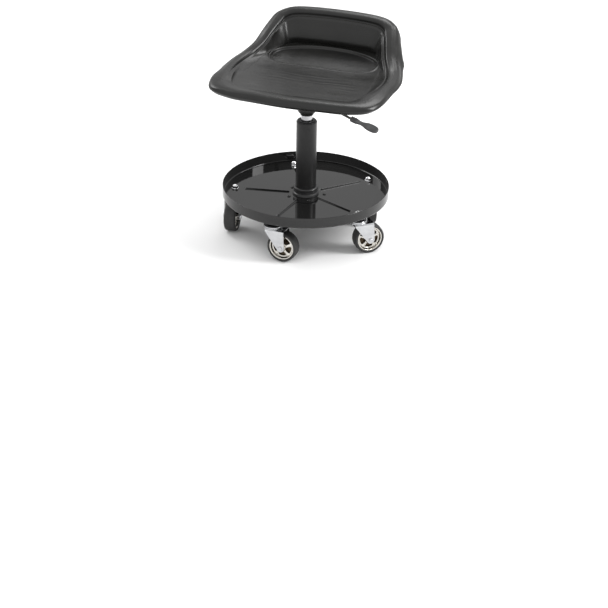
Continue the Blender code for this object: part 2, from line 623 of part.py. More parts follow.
def add_caster(number, base, place, trail_angle):
    x, y = place
    name = f"caster_{number}"
    stem_shoulder = TRAY_FLOOR_Z - TRAY_SHEET - GAP
    dome_low = FORK_TOP_Z + GAP
    web_low = FORK_TOP_Z - FORK_SHEET
    stem_profile = [
        (0, 0.1068), (0.0034, 0.1068), (STEM_R, 0.1062), (STEM_R, stem_shoulder),
        (0.0085, stem_shoulder), (0.0085, 0.0925), (0.0205, 0.0897), (0.0225, 0.0865),
        (0.0225, dome_low), (STEM_R, dome_low), (STEM_R, web_low - GAP),
        (0.0065, web_low - GAP), (0.0065, 0.0764), (0, 0.0764),
    ]
    turned(f"{name}_stem", stem_profile, 14, "zinc_plate", base, (x, y, 0))
    nut_low = TRAY_FLOOR_Z + GAP
    nut_profile = [
        (0, nut_low + 0.0095), (0.0038, nut_low + 0.0087), (0.0063, nut_low + 0.0068),
        (0.0075, nut_low + 0.0062), (0.0075, nut_low + 0.0010), (0.0090, nut_low),
        (0.0050, nut_low), (0.0050, nut_low + 0.0070), (0, nut_low + 0.0070),
    ]
    turned(f"{name}_cap_nut", nut_profile, 6, "chrome", base, (x, y, 0))

    swivel = add_empty(f"{name}_swivel_axis", (x, y, 0), base, math.radians(trail_angle))
    fork = add_piece(f"{name}_fork", channel_mesh(), "zinc_plate", swivel)
    trim = add_piece(f"{name}_fork_outline", fork_outline_mesh(), None, swivel)
    combine(fork, trim, "INTERSECT")
    drill(fork, f"{name}_kingpin_hole", STEM_R + 2 * GAP, 0.07, 0.09, (0, 0), 12)
    across = (math.pi / 2, 0, 0)
    centre = (TRAIL, 0, WHEEL_R)
    axle_mesh = cylinder_mesh(AXLE_R + GAP, -0.03, 0.03, 12)
    axle_hole = add_piece(f"{name}_axle_hole", axle_mesh, None, swivel, centre, across)
    combine(fork, axle_hole, "DIFFERENCE")
    head_start = FORK_INNER_Y + FORK_SHEET + GAP
    axle_profile = [
        (0, head_start + 0.003), (0.0045, head_start + 0.003), (0.006, head_start + 0.0015),
        (0.006, head_start), (AXLE_R, head_start), (AXLE_R, -head_start), (0.006, -head_start),
        (0.006, -head_start - 0.0015), (0.0045, -head_start - 0.003), (0, -head_start - 0.003),
    ]
    turned(f"{name}_axle", axle_profile, 10, "zinc_plate", swivel, centre, across)

    roll = add_empty(f"{name}_roll_axis", centre, swivel)
    hub_r, hub_half = 0.0085, 0.0155
    web_r, web_half = 0.0270, 0.0045
    rim_half = 0.0125
    rim_profile = [
        (RIM_R, rim_half), (RIM_R, -rim_half), (RIM_R - 0.0022, -rim_half), (web_r, -web_half),
        (hub_r, -web_half), (hub_r, -hub_half), (AXLE_R + GAP, -hub_half), (AXLE_R + GAP, hub_half),
        (hub_r, hub_half), (hub_r, web_half), (web_r, web_half), (RIM_R - 0.0022, rim_half),
    ]
    rim = turned(f"{name}_rim", rim_profile, 20, "chrome", roll, (0, 0, 0), across)
    for i, (wx, wy, _) in enumerate(circle_places(0.0175, 90), 1):
        window_mesh = cylinder_mesh(0.006, -0.02, 0.02, 8)
        window_mesh.transform(Matrix.Rotation(math.pi / 2, 4, "X") @ Matrix.Translation((wx, wy, 0)))
        window = add_piece(f"{name}_window_{i}", window_mesh, None, roll)
        combine(rim, window, "DIFFERENCE")
    edge = 0.0045
    half = WHEEL_HALF_WIDTH
    tyre_inner = RIM_R + GAP
    tyre_profile = [
        *arc(WHEEL_R - edge, half - edge, edge, 90, 0, 2),
        *arc(WHEEL_R - edge, edge - half, edge, 0, -90, 2),
        (tyre_inner, -half + 0.001), (tyre_inner, half - 0.001),
    ]
    turned(f"{name}_tyre", tyre_profile, 28, "tyre_rubber", roll, (0, 0, 0), across)


def main():
    base = add_empty("column_axis", (COLUMN_X, COLUMN_Y, 0))
    add_tray(base)
    add_hub(base)
    add_column(base)
    rod_axis = add_empty("seat_swivel_axis", (0, 0, 0), base)
    add_lift_rod(rod_axis)
    seat_axis = add_empty("height_slide_axis", (0, 0, 0), rod_axis)
    add_lift_cylinder(seat_axis)
    plate = add_seat_mechanism(seat_axis)
    seat = add_seat(seat_axis)
    add_seat_bolts(plate, seat, seat_axis)
    add_release_pin(add_empty("release_pin_axis", (0, 0, 0), seat_axis))
    add_lever(add_empty("lever_pivot_axis", (LEVER_PIVOT_X, 0, LEVER_Z), seat_axis))
    for number, ((x, y, _), trail_angle) in enumerate(zip(CASTER_PLACES, TRAIL_ANGLES), 1):
        add_caster(number, base, (x, y), trail_angle)


main()
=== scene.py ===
"""Looks of the pneumatic roller seat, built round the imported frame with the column's axis as Z."""

import json
from math import asin, atan2, copysign, cos, exp, hypot, pi, radians, sin, sqrt, tan

import bmesh
import bpy
import numpy as np
from mathutils import Matrix, Vector


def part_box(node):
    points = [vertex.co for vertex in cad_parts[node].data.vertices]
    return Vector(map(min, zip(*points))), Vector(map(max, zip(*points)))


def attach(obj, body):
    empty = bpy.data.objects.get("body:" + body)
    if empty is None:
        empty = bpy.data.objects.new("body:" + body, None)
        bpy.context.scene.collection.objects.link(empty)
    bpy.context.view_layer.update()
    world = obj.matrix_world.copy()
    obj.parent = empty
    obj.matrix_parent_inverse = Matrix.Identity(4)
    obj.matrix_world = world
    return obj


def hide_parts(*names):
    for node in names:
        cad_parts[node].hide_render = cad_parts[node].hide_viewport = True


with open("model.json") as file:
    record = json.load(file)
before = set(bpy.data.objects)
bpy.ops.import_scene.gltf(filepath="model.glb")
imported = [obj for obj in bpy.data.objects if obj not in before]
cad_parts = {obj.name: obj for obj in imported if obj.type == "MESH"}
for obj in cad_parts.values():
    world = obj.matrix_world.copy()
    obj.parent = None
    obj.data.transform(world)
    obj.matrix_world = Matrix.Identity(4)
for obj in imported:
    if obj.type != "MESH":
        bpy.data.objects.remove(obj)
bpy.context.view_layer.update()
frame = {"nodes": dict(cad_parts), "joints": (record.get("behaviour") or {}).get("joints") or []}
JOINTS = {joint["name"]: joint for joint in frame["joints"]}
AXIS = Vector((*JOINTS["seat_swivel"]["pos_m"][:2], 0))
COLUMN = Matrix.Translation(AXIS)
CASTERS = range(1, 6)
GAP = 0.0003


def node_box(node):
    """Lowest and highest corner of a CAD node, measured from the column's axis."""
    low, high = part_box(node)
    return low - AXIS, high - AXIS


def round_node(node):
    """Radius, lowest and highest place of a CAD node that is round about the column."""
    low, high = node_box(node)
    return (high.x - low.x) / 2, low.z, high.z


def under_node(node):
    """The frame that stands on the ground under a CAD node's middle."""
    low, high = node_box(node)
    return COLUMN @ Matrix.Translation(((low.x + high.x) / 2, (low.y + high.y) / 2, 0))


# ---------------------------------------------------------------- materials


class Nodes:
    """A short way to write a material's node tree."""

    def __init__(self, name, **values):
        self.material = bpy.data.materials.new(name)
        self.material.use_nodes = True
        self.tree = self.material.node_tree
        self.shader = self.tree.nodes["Principled BSDF"]
        for socket, value in values.items():
            socket = socket.replace("_", " ")
            self.shader.inputs[socket].default_value = value
        self.place = self.add("ShaderNodeTexCoord").outputs["Object"]

    def add(self, kind, **settings):
        node = self.tree.nodes.new(kind)
        for key, value in settings.items():
            setattr(node, key, value)
        return node

    def feed(self, socket, value):
        """Set a socket to a number or a colour, or link another node's output to it."""
        if isinstance(value, tuple):
            value = (*value, 1)
        if isinstance(value, (int, float, tuple)):
            socket.default_value = value
        else:
            self.link(value, socket)

    def link(self, output, socket):
        self.tree.links.new(output, socket)

    def noise(self, scale, detail=2.0, stretch=(1, 1, 1), distortion=0.0):
        mapping = self.add("ShaderNodeMapping")
        mapping.inputs["Scale"].default_value = stretch
        self.link(self.place, mapping.inputs["Vector"])
        noise = self.add("ShaderNodeTexNoise")
        noise.inputs["Scale"].default_value = scale
        noise.inputs["Detail"].default_value = detail
        noise.inputs["Distortion"].default_value = distortion
        self.link(mapping.outputs["Vector"], noise.inputs["Vector"])
        return noise.outputs["Fac"]

    def cells(self, scale, feature="F1"):
        cells = self.add("ShaderNodeTexVoronoi", feature=feature)
        cells.inputs["Scale"].default_value = scale
        self.link(self.place, cells.inputs["Vector"])
        return cells.outputs["Distance"]

    def ramp(self, value, *stops):
        """A colour that runs through (position, colour) stops."""
        ramp = self.add("ShaderNodeValToRGB")
        elements = ramp.color_ramp.elements
        while len(elements) < len(stops):
            elements.new(0.5)
        for element, (position, color) in zip(elements, stops):
            element.position = position
            element.color = (*color, 1)
        self.link(value, ramp.inputs["Fac"])
        return ramp.outputs["Color"]

    def range(self, value, low, high, start=0.0, end=1.0):
        """Maps start to end onto low to high, and holds the ends."""
        node = self.add("ShaderNodeMapRange")
        for name, number in (("From Min", start), ("From Max", end), ("To Min", low), ("To Max", high)):
            node.inputs[name].default_value = number
        self.link(value, node.inputs["Value"])
        return node.outputs["Result"]

    def mix(self, factor, first, second):
        node = self.add("ShaderNodeMix", data_type="RGBA")
        for place, value in ((0, factor), (6, first), (7, second)):
            self.feed(node.inputs[place], value)
        return node.outputs[2]

    def math(self, operation, first, second):
        node = self.add("ShaderNodeMath", operation=operation)
        self.feed(node.inputs[0], first)
        self.feed(node.inputs[1], second)
        return node.outputs[0]

    def axis(self, name):
        split = self.add("ShaderNodeSeparateXYZ")
        self.link(self.place, split.inputs["Vector"])
        return split.outputs[name]

    def edges(self, start, end):
        """1 on sharp outer edges, 0 in hollows, from the mesh's pointiness."""
        pointy = self.add("ShaderNodeNewGeometry").outputs["Pointiness"]
        return self.range(pointy, 0.0, 1.0, start, end)

    def bump(self, *layers):
        """Layers of (height, strength, distance)."""
        normal = None
        for height, strength, distance in layers:
            bump = self.add("ShaderNodeBump")
            bump.inputs["Strength"].default_value = strength
            bump.inputs["Distance"].default_value = distance
            self.link(height, bump.inputs["Height"])
            if normal:
                self.link(normal, bump.inputs["Normal"])
            normal = bump.outputs["Normal"]
        self.link(normal, self.shader.inputs["Normal"])

    def color(self, value):
        self.link(value, self.shader.inputs["Base Color"])

    def clouds(self, scale, detail, low, high):
        """A base colour that drifts between two tones."""
        self.color(self.ramp(self.noise(scale, detail), (0.3, low), (0.7, high)))

    def roughness(self, value):
        self.link(value, self.shader.inputs["Roughness"])

    def patches(self, scale, detail, low, high):
        """A roughness that drifts between two values."""
        self.roughness(self.range(self.noise(scale, detail), low, high))


def black_enamel():
    """Thick gloss paint: almost a mirror, with a faint orange peel and dust-fine scuffs."""
    n = Nodes("black_enamel", IOR=1.52, Specular_IOR_Level=0.44)
    n.clouds(9, 3, (0.0055, 0.0055, 0.0056), (0.0085, 0.0084, 0.0082))
    scuffs = n.noise(900, 4, (1, 0.08, 1), 0.4)
    n.roughness(n.math("ADD", n.range(n.noise(60, 3), 0.035, 0.075), n.range(scuffs, 0.0, 0.05, 0.58, 0.80)))
    n.bump((n.noise(160, 2), 0.05, 0.0004))
    return n.material


def satin_black(name, low, high):
    """Powder coat: fine peel over steel."""
    n = Nodes(name, IOR=1.5, Specular_IOR_Level=0.34)
    n.clouds(40, 3, (0.0075, 0.0075, 0.0078), (0.0125, 0.0124, 0.0122))
    n.patches(320, 3, low, high)
    n.bump((n.noise(700, 2), 0.10, 0.0004), (n.noise(90, 2), 0.06, 0.0006))
    return n.material


def black_plastic():
    n = Nodes("black_plastic", IOR=1.46)
    n.clouds(50, 3, (0.012, 0.012, 0.0125), (0.020, 0.020, 0.0205))
    n.patches(400, 2, 0.30, 0.44)
    n.bump((n.cells(1400), 0.10, 0.0002))
    return n.material


def handle_plastic():
    """Moulded nylon with a spark-eroded texture."""
    n = Nodes("handle_plastic", IOR=1.46)
    n.clouds(60, 3, (0.050, 0.050, 0.051), (0.072, 0.072, 0.073))
    n.patches(500, 2, 0.42, 0.58)
    n.bump((n.cells(1600), 0.22, 0.0003))
    return n.material


def seat_skin():
    """Integral skin of moulded polyurethane foam: satin, finely grained, a little uneven from the mould."""
    n = Nodes("seat_skin", IOR=1.47, Specular_IOR_Level=0.33)
    cloud = n.noise(14, 4, distortion=0.3)
    tone = n.ramp(cloud, (0.25, (0.0060, 0.0061, 0.0060)), (0.75, (0.0110, 0.0108, 0.0100)))
    streaks = n.noise(55, 2, (0.16, 1.0, 1.0))
    tone = n.mix(n.range(streaks, 0.0, 0.35, 0.45, 0.75), tone, (0.015, 0.015, 0.0142))
    tone = n.mix(n.math("MULTIPLY", n.edges(0.515, 0.60), 0.45), tone, (0.036, 0.036, 0.036))
    n.color(tone)
    n.roughness(n.math("ADD", n.range(n.noise(36, 3), 0.27, 0.37), n.range(streaks, -0.05, 0.07, 0.30, 0.70)))
    grain = n.cells(620, "SMOOTH_F1")
    n.bump((n.noise(26, 2), 0.10, 0.0030), (grain, 0.16, 0.0005), (n.noise(1500, 2), 0.10, 0.0003))
    return n.material


def chrome(name="chrome", tint=(0.72, 0.72, 0.73), low=0.035, high=0.09, painted_shade_depth=0):
    """Bright plate with painted shade: browner and darker in hollows and, when given a depth, near a wheel's
    middle plane.
    """
    n = Nodes(name, Metallic=1.0)
    tone = n.ramp(n.noise(30, 3), (0.3, tuple(0.94 * c for c in tint)), (0.7, tint))
    # Painted shade: hollows, found by low pointiness, turn dark brown.
    tone = n.mix(n.math("SUBTRACT", 1.0, n.edges(0.36, 0.485)), tone, (0.060, 0.048, 0.034))
    # Painted shade: the web and the window walls near the wheel's middle plane turn dark brown.
    if painted_shade_depth:
        depth = n.math("ABSOLUTE", n.axis("Y"), 0.0)
        tone = n.mix(n.range(depth, 1.0, 0.0, 0.3 * painted_shade_depth, painted_shade_depth), tone, (0.045, 0.034, 0.022))
    n.color(tone)
    n.patches(180, 4, low, high)
    n.bump((n.noise(500, 2), 0.03, 0.0002))
    return n.material


def rod_chrome():
    """Hard chrome, with the fine rings that grinding and the bushing leave."""
    n = Nodes("rod_chrome", Metallic=1.0)
    n.clouds(30, 2, (0.33, 0.33, 0.34), (0.42, 0.42, 0.43))
    rings = n.noise(1200, 2, (0.02, 0.02, 1))
    n.roughness(n.range(rings, 0.06, 0.16))
    n.bump((rings, 0.04, 0.0002))
    return n.material


def zinc():
    """Bright zinc plate on pressed steel: pale, slightly cloudy, brushed under the plate."""
    n = Nodes("zinc_plate", Metallic=1.0)
    cloud = n.noise(70, 4, distortion=0.5)
    tone = n.ramp(cloud, (0.3, (0.46, 0.465, 0.48)), (0.6, (0.54, 0.545, 0.555)), (0.8, (0.61, 0.615, 0.62)))
    n.color(n.mix(n.range(n.noise(220, 3), 0.0, 0.35, 0.55, 0.8), tone, (0.36, 0.345, 0.31)))
    brushed = n.noise(700, 3, (0.06, 1, 1))
    n.roughness(n.math("ADD", n.range(cloud, 0.12, 0.20), n.range(brushed, -0.02, 0.04)))
    n.bump((brushed, 0.05, 0.0002), (n.noise(140, 2), 0.06, 0.0005))
    return n.material


def bare_steel():
    n = Nodes("bare_steel", Metallic=1.0)
    n.clouds(90, 4, (0.34, 0.34, 0.35), (0.50, 0.50, 0.50))
    n.patches(400, 3, 0.24, 0.40)
    n.bump((n.noise(600, 2), 0.08, 0.0002))
    return n.material


def lever_steel():
    """Blackened steel wire."""
    n = Nodes("lever_steel", Metallic=0.9)
    n.clouds(120, 4, (0.055, 0.054, 0.052), (0.11, 0.108, 0.10))
    n.patches(500, 3, 0.28, 0.44)
    n.bump((n.noise(900, 2), 0.08, 0.0002))
    return n.material


def tyre_rubber():
    """Black rubber, greyer where it has run on the floor."""
    n = Nodes("tyre_rubber", IOR=1.46)
    dust = n.noise(120, 5, distortion=0.4)
    tone = n.ramp(dust, (0.3, (0.013, 0.013, 0.013)), (0.75, (0.024, 0.0235, 0.023)))
    worn = n.math("MULTIPLY", n.edges(0.50, 0.58), n.range(n.noise(300, 3), 0.3, 1.0))
    n.color(n.mix(n.math("MULTIPLY", worn, 0.5), tone, (0.055, 0.054, 0.052)))
    n.patches(260, 3, 0.50, 0.70)
    n.bump((n.noise(900, 3), 0.16, 0.0003))
    return n.material


def bumper_rubber():
    n = Nodes("bumper_rubber", IOR=1.46)
    n.clouds(200, 3, (0.018, 0.018, 0.018), (0.032, 0.031, 0.030))
    n.patches(300, 3, 0.65, 0.85)
    n.bump((n.noise(800, 2), 0.2, 0.0003))
    return n.material


def studio_floor():
    n = Nodes("studio_floor", Specular_IOR_Level=0.2)
    n.clouds(1.5, 2, (0.78, 0.78, 0.78), (0.80, 0.80, 0.80))
    n.patches(6, 2, 0.75, 0.85)
    return n.material


ENAMEL = black_enamel()
POWDER = satin_black("satin_black_steel", 0.30, 0.42)
WELD = satin_black("weld_paint", 0.34, 0.5)
PLASTIC = black_plastic()
HANDLE = handle_plastic()
SKIN = seat_skin()
CHROME = chrome()
# The last number paints shade on the rim's web and window walls within 6.2 mm of the middle plane.
RIM_CHROME = chrome("rim_chrome", (0.66, 0.64, 0.60), 0.06, 0.14, 0.0062)
ROD_CHROME = rod_chrome()
ZINC = zinc()
STEEL = bare_steel()
LEVER = lever_steel()
TYRE = tyre_rubber()
BUMPER = bumper_rubber()

CAD_LOOKS = {
    "hub_plate": POWDER, "column_end_cap": POWDER, "thrust_bearing_race": STEEL, "thrust_bearing_cage": STEEL,
    "lift_bumper": BUMPER, "piston_rod": ROD_CHROME, "rod_retaining_clip": STEEL, "rod_guide": PLASTIC,
    "release_pin": STEEL, "lever_pivot_pin": STEEL, "seat_plate": POWDER, "lever_housing": POWDER,
}

# ---------------------------------------------------------------- mesh helpers

UP = Vector((0, 0, 1))
ACROSS = Matrix.Rotation(pi / 2, 4, "X")
STRAIGHT = radians(89.5)


def smooth_step(low, high, value):
    t = min(max((value - low) / (high - low), 0.0), 1.0)
    return t * t * (3 - 2 * t)


def places_round(count):
    """Angles of count places round a full turn."""
    return [2 * pi * i / count for i in range(count)]


def curve_between(points, count):
    """count + 1 points on a Catmull-Rom curve from the second point to the last but one."""
    spans = len(points) - 3
    made = []
    for i in range(count + 1):
        place = min(i * spans / count, spans - 1e-9)
        k, t = int(place), place % 1.0
        a, b, c, d = points[k:k + 4]
        made.append(0.5 * (2 * b + (c - a) * t + (2 * a - 5 * b + 4 * c - d) * t**2
                           + (3 * b - a - 3 * c + d) * t**3))
    return made


def spline(points, count):
    """count + 1 points on a Catmull-Rom curve through points, of any dimension."""
    points = [np.array(p, float) for p in points]
    return curve_between([2 * points[0] - points[1]] + points + [2 * points[-1] - points[-2]], count)


def filleted(corners, closed=True, steps=4):
    """A flat path of (a, b, radius) corners, each rounded by its radius."""
    path = []
    count = len(corners)
    for i, (x, y, radius) in enumerate(corners):
        here = Vector((x, y))
        if radius <= 0 or (not closed and i in (0, count - 1)):
            path.append((x, y))
            continue
        before = Vector(corners[i - 1][:2]) - here
        after = Vector(corners[(i + 1) % count][:2]) - here
        half = before.angle(after) / 2
        if half > STRAIGHT:
            path.append((x, y))
            continue
        cut = min(radius / tan(half), 0.49 * before.length, 0.49 * after.length)
        radius = cut * tan(half)
        start, end = here + before.normalized() * cut, here + after.normalized() * cut
        middle = here + (before.normalized() + after.normalized()).normalized() * (radius / sin(half))
        first, last = start - middle, end - middle
        turn = first.angle_signed(last)
        for k in range(steps + 1):
            path.append(tuple(middle + Matrix.Rotation(-turn * k / steps, 2) @ first))
    return path


def piece(name, build, material, body, nodes=(), place=COLUMN, angle=40):
    """A named piece filled by build(bm), which rides on a body and may stand for CAD nodes."""
    mesh = bpy.data.meshes.new(name)
    bm = bmesh.new()
    build(bm)
    bmesh.ops.remove_doubles(bm, verts=bm.verts, dist=1e-7)
    bmesh.ops.recalc_face_normals(bm, faces=bm.faces)
    bm.to_mesh(mesh)
    bm.free()
    mesh.materials.append(material)
    mesh.shade_smooth()
    mesh.set_sharp_from_angle(angle=radians(angle))
    obj = bpy.data.objects.new(name, mesh)
    bpy.context.scene.collection.objects.link(obj)
    obj.matrix_world = place
    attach(obj, body)
    if nodes:
        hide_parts(*nodes)
    return obj


def soften(obj, width=0.0004, segments=2, angle=50):
    """A small bevel on the edges sharper than an angle."""
    bevel = obj.modifiers.new("edges", "BEVEL")
    bevel.width = width
    bevel.segments = segments
    bevel.limit_method = "ANGLE"
    bevel.angle_limit = radians(angle)
    bevel.harden_normals = True


def skin_rings(bm, rings, caps=True):
    """Faces between closed rings of points of equal count. A ring of one point is a pole."""
    made = [[bm.verts.new(p) for p in ring] for ring in rings]
    for first, second in zip(made, made[1:]):
        count = max(len(first), len(second))
        for i in range(count):
            corners = ((first, i), (first, i + 1), (second, i + 1), (second, i))
            bm.faces.new(list(dict.fromkeys(ring[k % len(ring)] for ring, k in corners)))
    if caps:
        for ring in (made[0], made[-1]):
            if len(ring) > 2:
                bm.faces.new(ring)


def turn(bm, profile, steps, closed=False, place=Matrix.Identity(4)):
    """A shape turned about Z from (radius, height) points."""
    rings = []
    for radius, height in profile + (profile[:1] if closed else []):
        if radius < 1e-7:
            rings.append([place @ Vector((0, 0, height))])
            continue
        circle = [Vector((radius * cos(a), radius * sin(a), height)) for a in places_round(steps)]
        rings.append([place @ point for point in circle])
    skin_rings(bm, rings, caps=not closed)


def turned(name, corners, steps, material, body, node):
    """A turned tube from (radius, height, fillet) corners."""
    def build(bm):
        turn(bm, filleted(corners), steps, True)

    piece(name, build, material, body, [node])


def hexagon(bm, radius, low, high, place=Matrix.Identity(4), chamfer=0.0008):
    """A hexagonal prism with its corners turned down at the top."""
    def ring(scale, height):
        made = []
        for a in places_round(36):
            flat = cos(pi / 6) / cos((a % (pi / 3)) - pi / 6)
            reach = radius * min(flat, scale)
            made.append(place @ Vector((reach * cos(a), reach * sin(a), height)))
        return made

    skin_rings(bm, [ring(1.0, low), ring(1.0, high - chamfer), ring(0.88, high)])


def sweep(bm, points, radius, sides):
    """A round rod along points, in a plane across Y."""
    rings = []
    for i, point in enumerate(points):
        along = (points[min(i + 1, len(points) - 1)] - points[max(i - 1, 0)]).normalized()
        side = along.cross(Vector((0, 1, 0))).normalized()
        lift = side.cross(along)
        rings.append([point + radius * (cos(a) * side + sin(a) * lift) for a in places_round(sides)])
    skin_rings(bm, rings)

# ---------------------------------------------------------------- tray

TRAY_R, TRAY_LOW, TRAY_TOP = round_node("tool_tray")
COLUMN_R, COLUMN_LOW, COLUMN_TOP = round_node("column_tube")
SHEET = 0.0015
FLOOR_Z = TRAY_LOW + SHEET
CASTER_PLACES = [JOINTS[f"caster_{i}_swivel"]["pos_m"] for i in CASTERS]
RIB_ANGLES = [atan2(y - AXIS.y, x - AXIS.x) for x, y, _ in CASTER_PLACES]
RIB_OFFSETS = [0.0, 0.0007, 0.0013, 0.0019, 0.0025, 0.0031, 0.0037, 0.0043, 0.0049, 0.0058]
RIB_HEIGHT = 0.0031
RIB_START, RIB_END = 0.0385, 0.1530
BETWEEN = 22


def rib_lift(radius, offset):
    """Height of a pressed rib above the floor, at a distance from the rib's middle line."""
    across = 1 - smooth_step(0.0005, 0.0051, abs(offset))
    start = smooth_step(RIB_START, RIB_START + 0.0035, radius)
    end = 1 - smooth_step(RIB_END - 0.0045, RIB_END, radius)
    return RIB_HEIGHT * across * (start * end)


def tray_ring(radius, height, on_floor):
    """A ring of the tray. Its points crowd at the ribs, so that each rib keeps one width along its length."""
    ring = []
    offsets = [-o for o in reversed(RIB_OFFSETS[1:])] + RIB_OFFSETS
    edge = asin(min(RIB_OFFSETS[-1] / radius, 0.6))
    for i, middle in enumerate(RIB_ANGLES):
        step = (RIB_ANGLES[(i + 1) % len(RIB_ANGLES)] - middle) % (2 * pi)
        for offset in offsets:
            a = middle + asin(min(max(offset / radius, -0.6), 0.6))
            lift = rib_lift(radius, offset) if on_floor else 0.0
            ring.append((radius * cos(a), radius * sin(a), height + lift))
        for k in range(1, BETWEEN):
            a = middle + edge + (step - 2 * edge) * k / BETWEEN
            ring.append((radius * cos(a), radius * sin(a), height))
    return ring


def build_tray(bm):
    """A pressed round sheet with raised ribs and an upright wall."""
    inner = TRAY_R - SHEET
    spans = (
        (COLUMN_R + GAP, RIB_START, 6), (RIB_START + 0.0006, RIB_START + 0.0042, 6),
        (0.050, RIB_END - 0.010, 14), (RIB_END - 0.0058, RIB_END + 0.001, 9), (0.160, inner - 0.0052, 6),
    )
    radii = [radius for low, high, count in spans for radius in np.linspace(low, high, count)]
    wall = filleted([
        (inner - 0.0052, FLOOR_Z, 0), (inner, FLOOR_Z, 0.0048), (inner, TRAY_TOP, 0.0005),
        (TRAY_R, TRAY_TOP, 0.0009), (TRAY_R, TRAY_LOW, 0.0062), (TRAY_R - 0.0085, TRAY_LOW, 0),
    ], closed=False, steps=8)
    rings = [tray_ring(r, FLOOR_Z, True) for r in radii]
    rings += [tray_ring(r, z, False) for r, z in wall[1:-1]]
    rings += [tray_ring(r, FLOOR_Z - SHEET, True) for r in reversed(radii)]
    rings.append(rings[0])
    skin_rings(bm, rings, caps=False)


piece("tray_shell", build_tray, ENAMEL, "base", ["tool_tray"], angle=60)

# ---------------------------------------------------------------- hub and column


def build_screw(bm, top, tip):
    """A pan head with a fine cross on it, and its shank."""
    under = FLOOR_Z + GAP
    height = top - under
    turn(bm, filleted([
        (0.0, top, 0), (0.0022, top - 0.0001, 0), (0.0036, top - 0.0009, 0.0008),
        (0.0041, under + 0.35 * height, 0), (0.0041, under, 0.0002), (0.0020, under, 0),
        (0.0020, tip + 0.0008, 0), (0.0014, tip, 0), (0, tip, 0),
    ], False), 32)
    bar = [(-0.0017, -0.0003), (0.0017, -0.0003), (0.0017, 0.0003), (-0.0017, 0.0003)]
    for angle in (0.4, 0.4 + pi / 2):
        spin = Matrix.Rotation(angle, 4, "Z")
        skin_rings(bm, [[spin @ Vector((x, y, z)) for x, y in bar] for z in (top + 0.00006, top - 0.0004)])


for i in range(1, 6):
    node = f"hub_screw_{i}"
    low, high = node_box(node)

    def screw(bm):
        build_screw(bm, high.z, low.z)

    piece(f"{node}_head", screw, POWDER, "base", [node], under_node(node))


def build_collar(bm):
    """A moulded collar: a beaded top, a waist, and a foot that spreads over the floor."""
    r, foot, top = round_node("column_collar")
    bore = COLUMN_R + GAP
    corners = [
        (bore, top, 0.0003), (bore + 0.0020, top, 0.0006), (r - 0.0025, top - 0.0008, 0.0008),
        (r - 0.0016, top - 0.0022, 0.001), (r - 0.0015, top - 0.0060, 0.0008),
        (r - 0.0032, top - 0.0072, 0.0006), (r - 0.0032, foot + 0.0066, 0.0008),
        (r - 0.0012, foot + 0.0052, 0.0008),
        (r - 0.0004, foot + 0.0026, 0.0010), (r, foot + 0.0012, 0.0006), (r, foot, 0.0003), (bore, foot, 0),
    ]
    turn(bm, filleted(corners, True, 5), 120, True)


piece("collar_moulding", build_collar, PLASTIC, "base", ["column_collar"])

WALL = 0.0022
CRIMPS = [radians(angle) for angle in (-62, 58, 178)]
CRIMP_Z = COLUMN_TOP - 0.0135
CRIMP_DEPTH = 0.0009
CRIMP_REACH = 0.0032


def crimp_depth(angle, height):
    """How far the column's wall is pressed in beside its nearest crimp."""
    depth = 0.0
    for crimp in CRIMPS:
        around = (angle - crimp + pi) % (2 * pi) - pi
        far = hypot(around * COLUMN_R, height - CRIMP_Z)
        depth = max(depth, CRIMP_DEPTH * (1 - smooth_step(0.0, CRIMP_REACH, far)))
    return depth


def build_column(bm):
    """The tube, with three crimps near its top that hold the bushing."""
    bore = COLUMN_R - WALL
    outer = [(COLUMN_R, COLUMN_LOW + 0.0006), (COLUMN_R, 0.12)]
    outer += [(COLUMN_R, h) for h in np.linspace(COLUMN_TOP - 0.022, COLUMN_TOP - 0.006, 21)]
    lip = filleted([
        (COLUMN_R, COLUMN_TOP - 0.003, 0), (COLUMN_R, COLUMN_TOP, 0.0010), (bore, COLUMN_TOP, 0.0006),
        (bore, COLUMN_TOP - 0.004, 0),
    ], closed=False, steps=5)
    inner = [(bore, 0.20), (bore, COLUMN_LOW), (COLUMN_R - 0.0006, COLUMN_LOW)]
    rings = []
    for radius, height in outer + lip + inner + outer[:1]:
        ring = []
        for a in places_round(144):
            reach = radius - (crimp_depth(a, height) if radius == COLUMN_R else 0.0)
            ring.append((reach * cos(a), reach * sin(a), height))
        rings.append(ring)
    skin_rings(bm, rings, caps=False)


piece("column_shell", build_column, POWDER, "base", ["column_tube"])

_, BUSH_LOW, BUSH_TOP = round_node("column_bushing")
CYLINDER_R, CYLINDER_LOW, CYLINDER_TOP = round_node("gas_cylinder")
SOCKET_R, SOCKET_LOW, SOCKET_TOP = round_node("cylinder_socket")
BUSH_BORE = CYLINDER_R + GAP
turned("bushing_moulding", [
    (BUSH_BORE, BUSH_TOP - 0.0012, 0), (CYLINDER_R + 0.0016, BUSH_TOP, 0.0005),
    (COLUMN_R - 0.0030, BUSH_TOP, 0.0008), (COLUMN_R - 0.0014, BUSH_TOP - 0.0014, 0.0005),
    (COLUMN_R - 0.0014, COLUMN_TOP + GAP, 0), (COLUMN_R - WALL - GAP, COLUMN_TOP + GAP, 0),
    (COLUMN_R - WALL - GAP, BUSH_LOW, 0.0005), (BUSH_BORE, BUSH_LOW, 0.0005),
], 96, PLASTIC, "base", "column_bushing")

# ---------------------------------------------------------------- gas lift and seat bracket

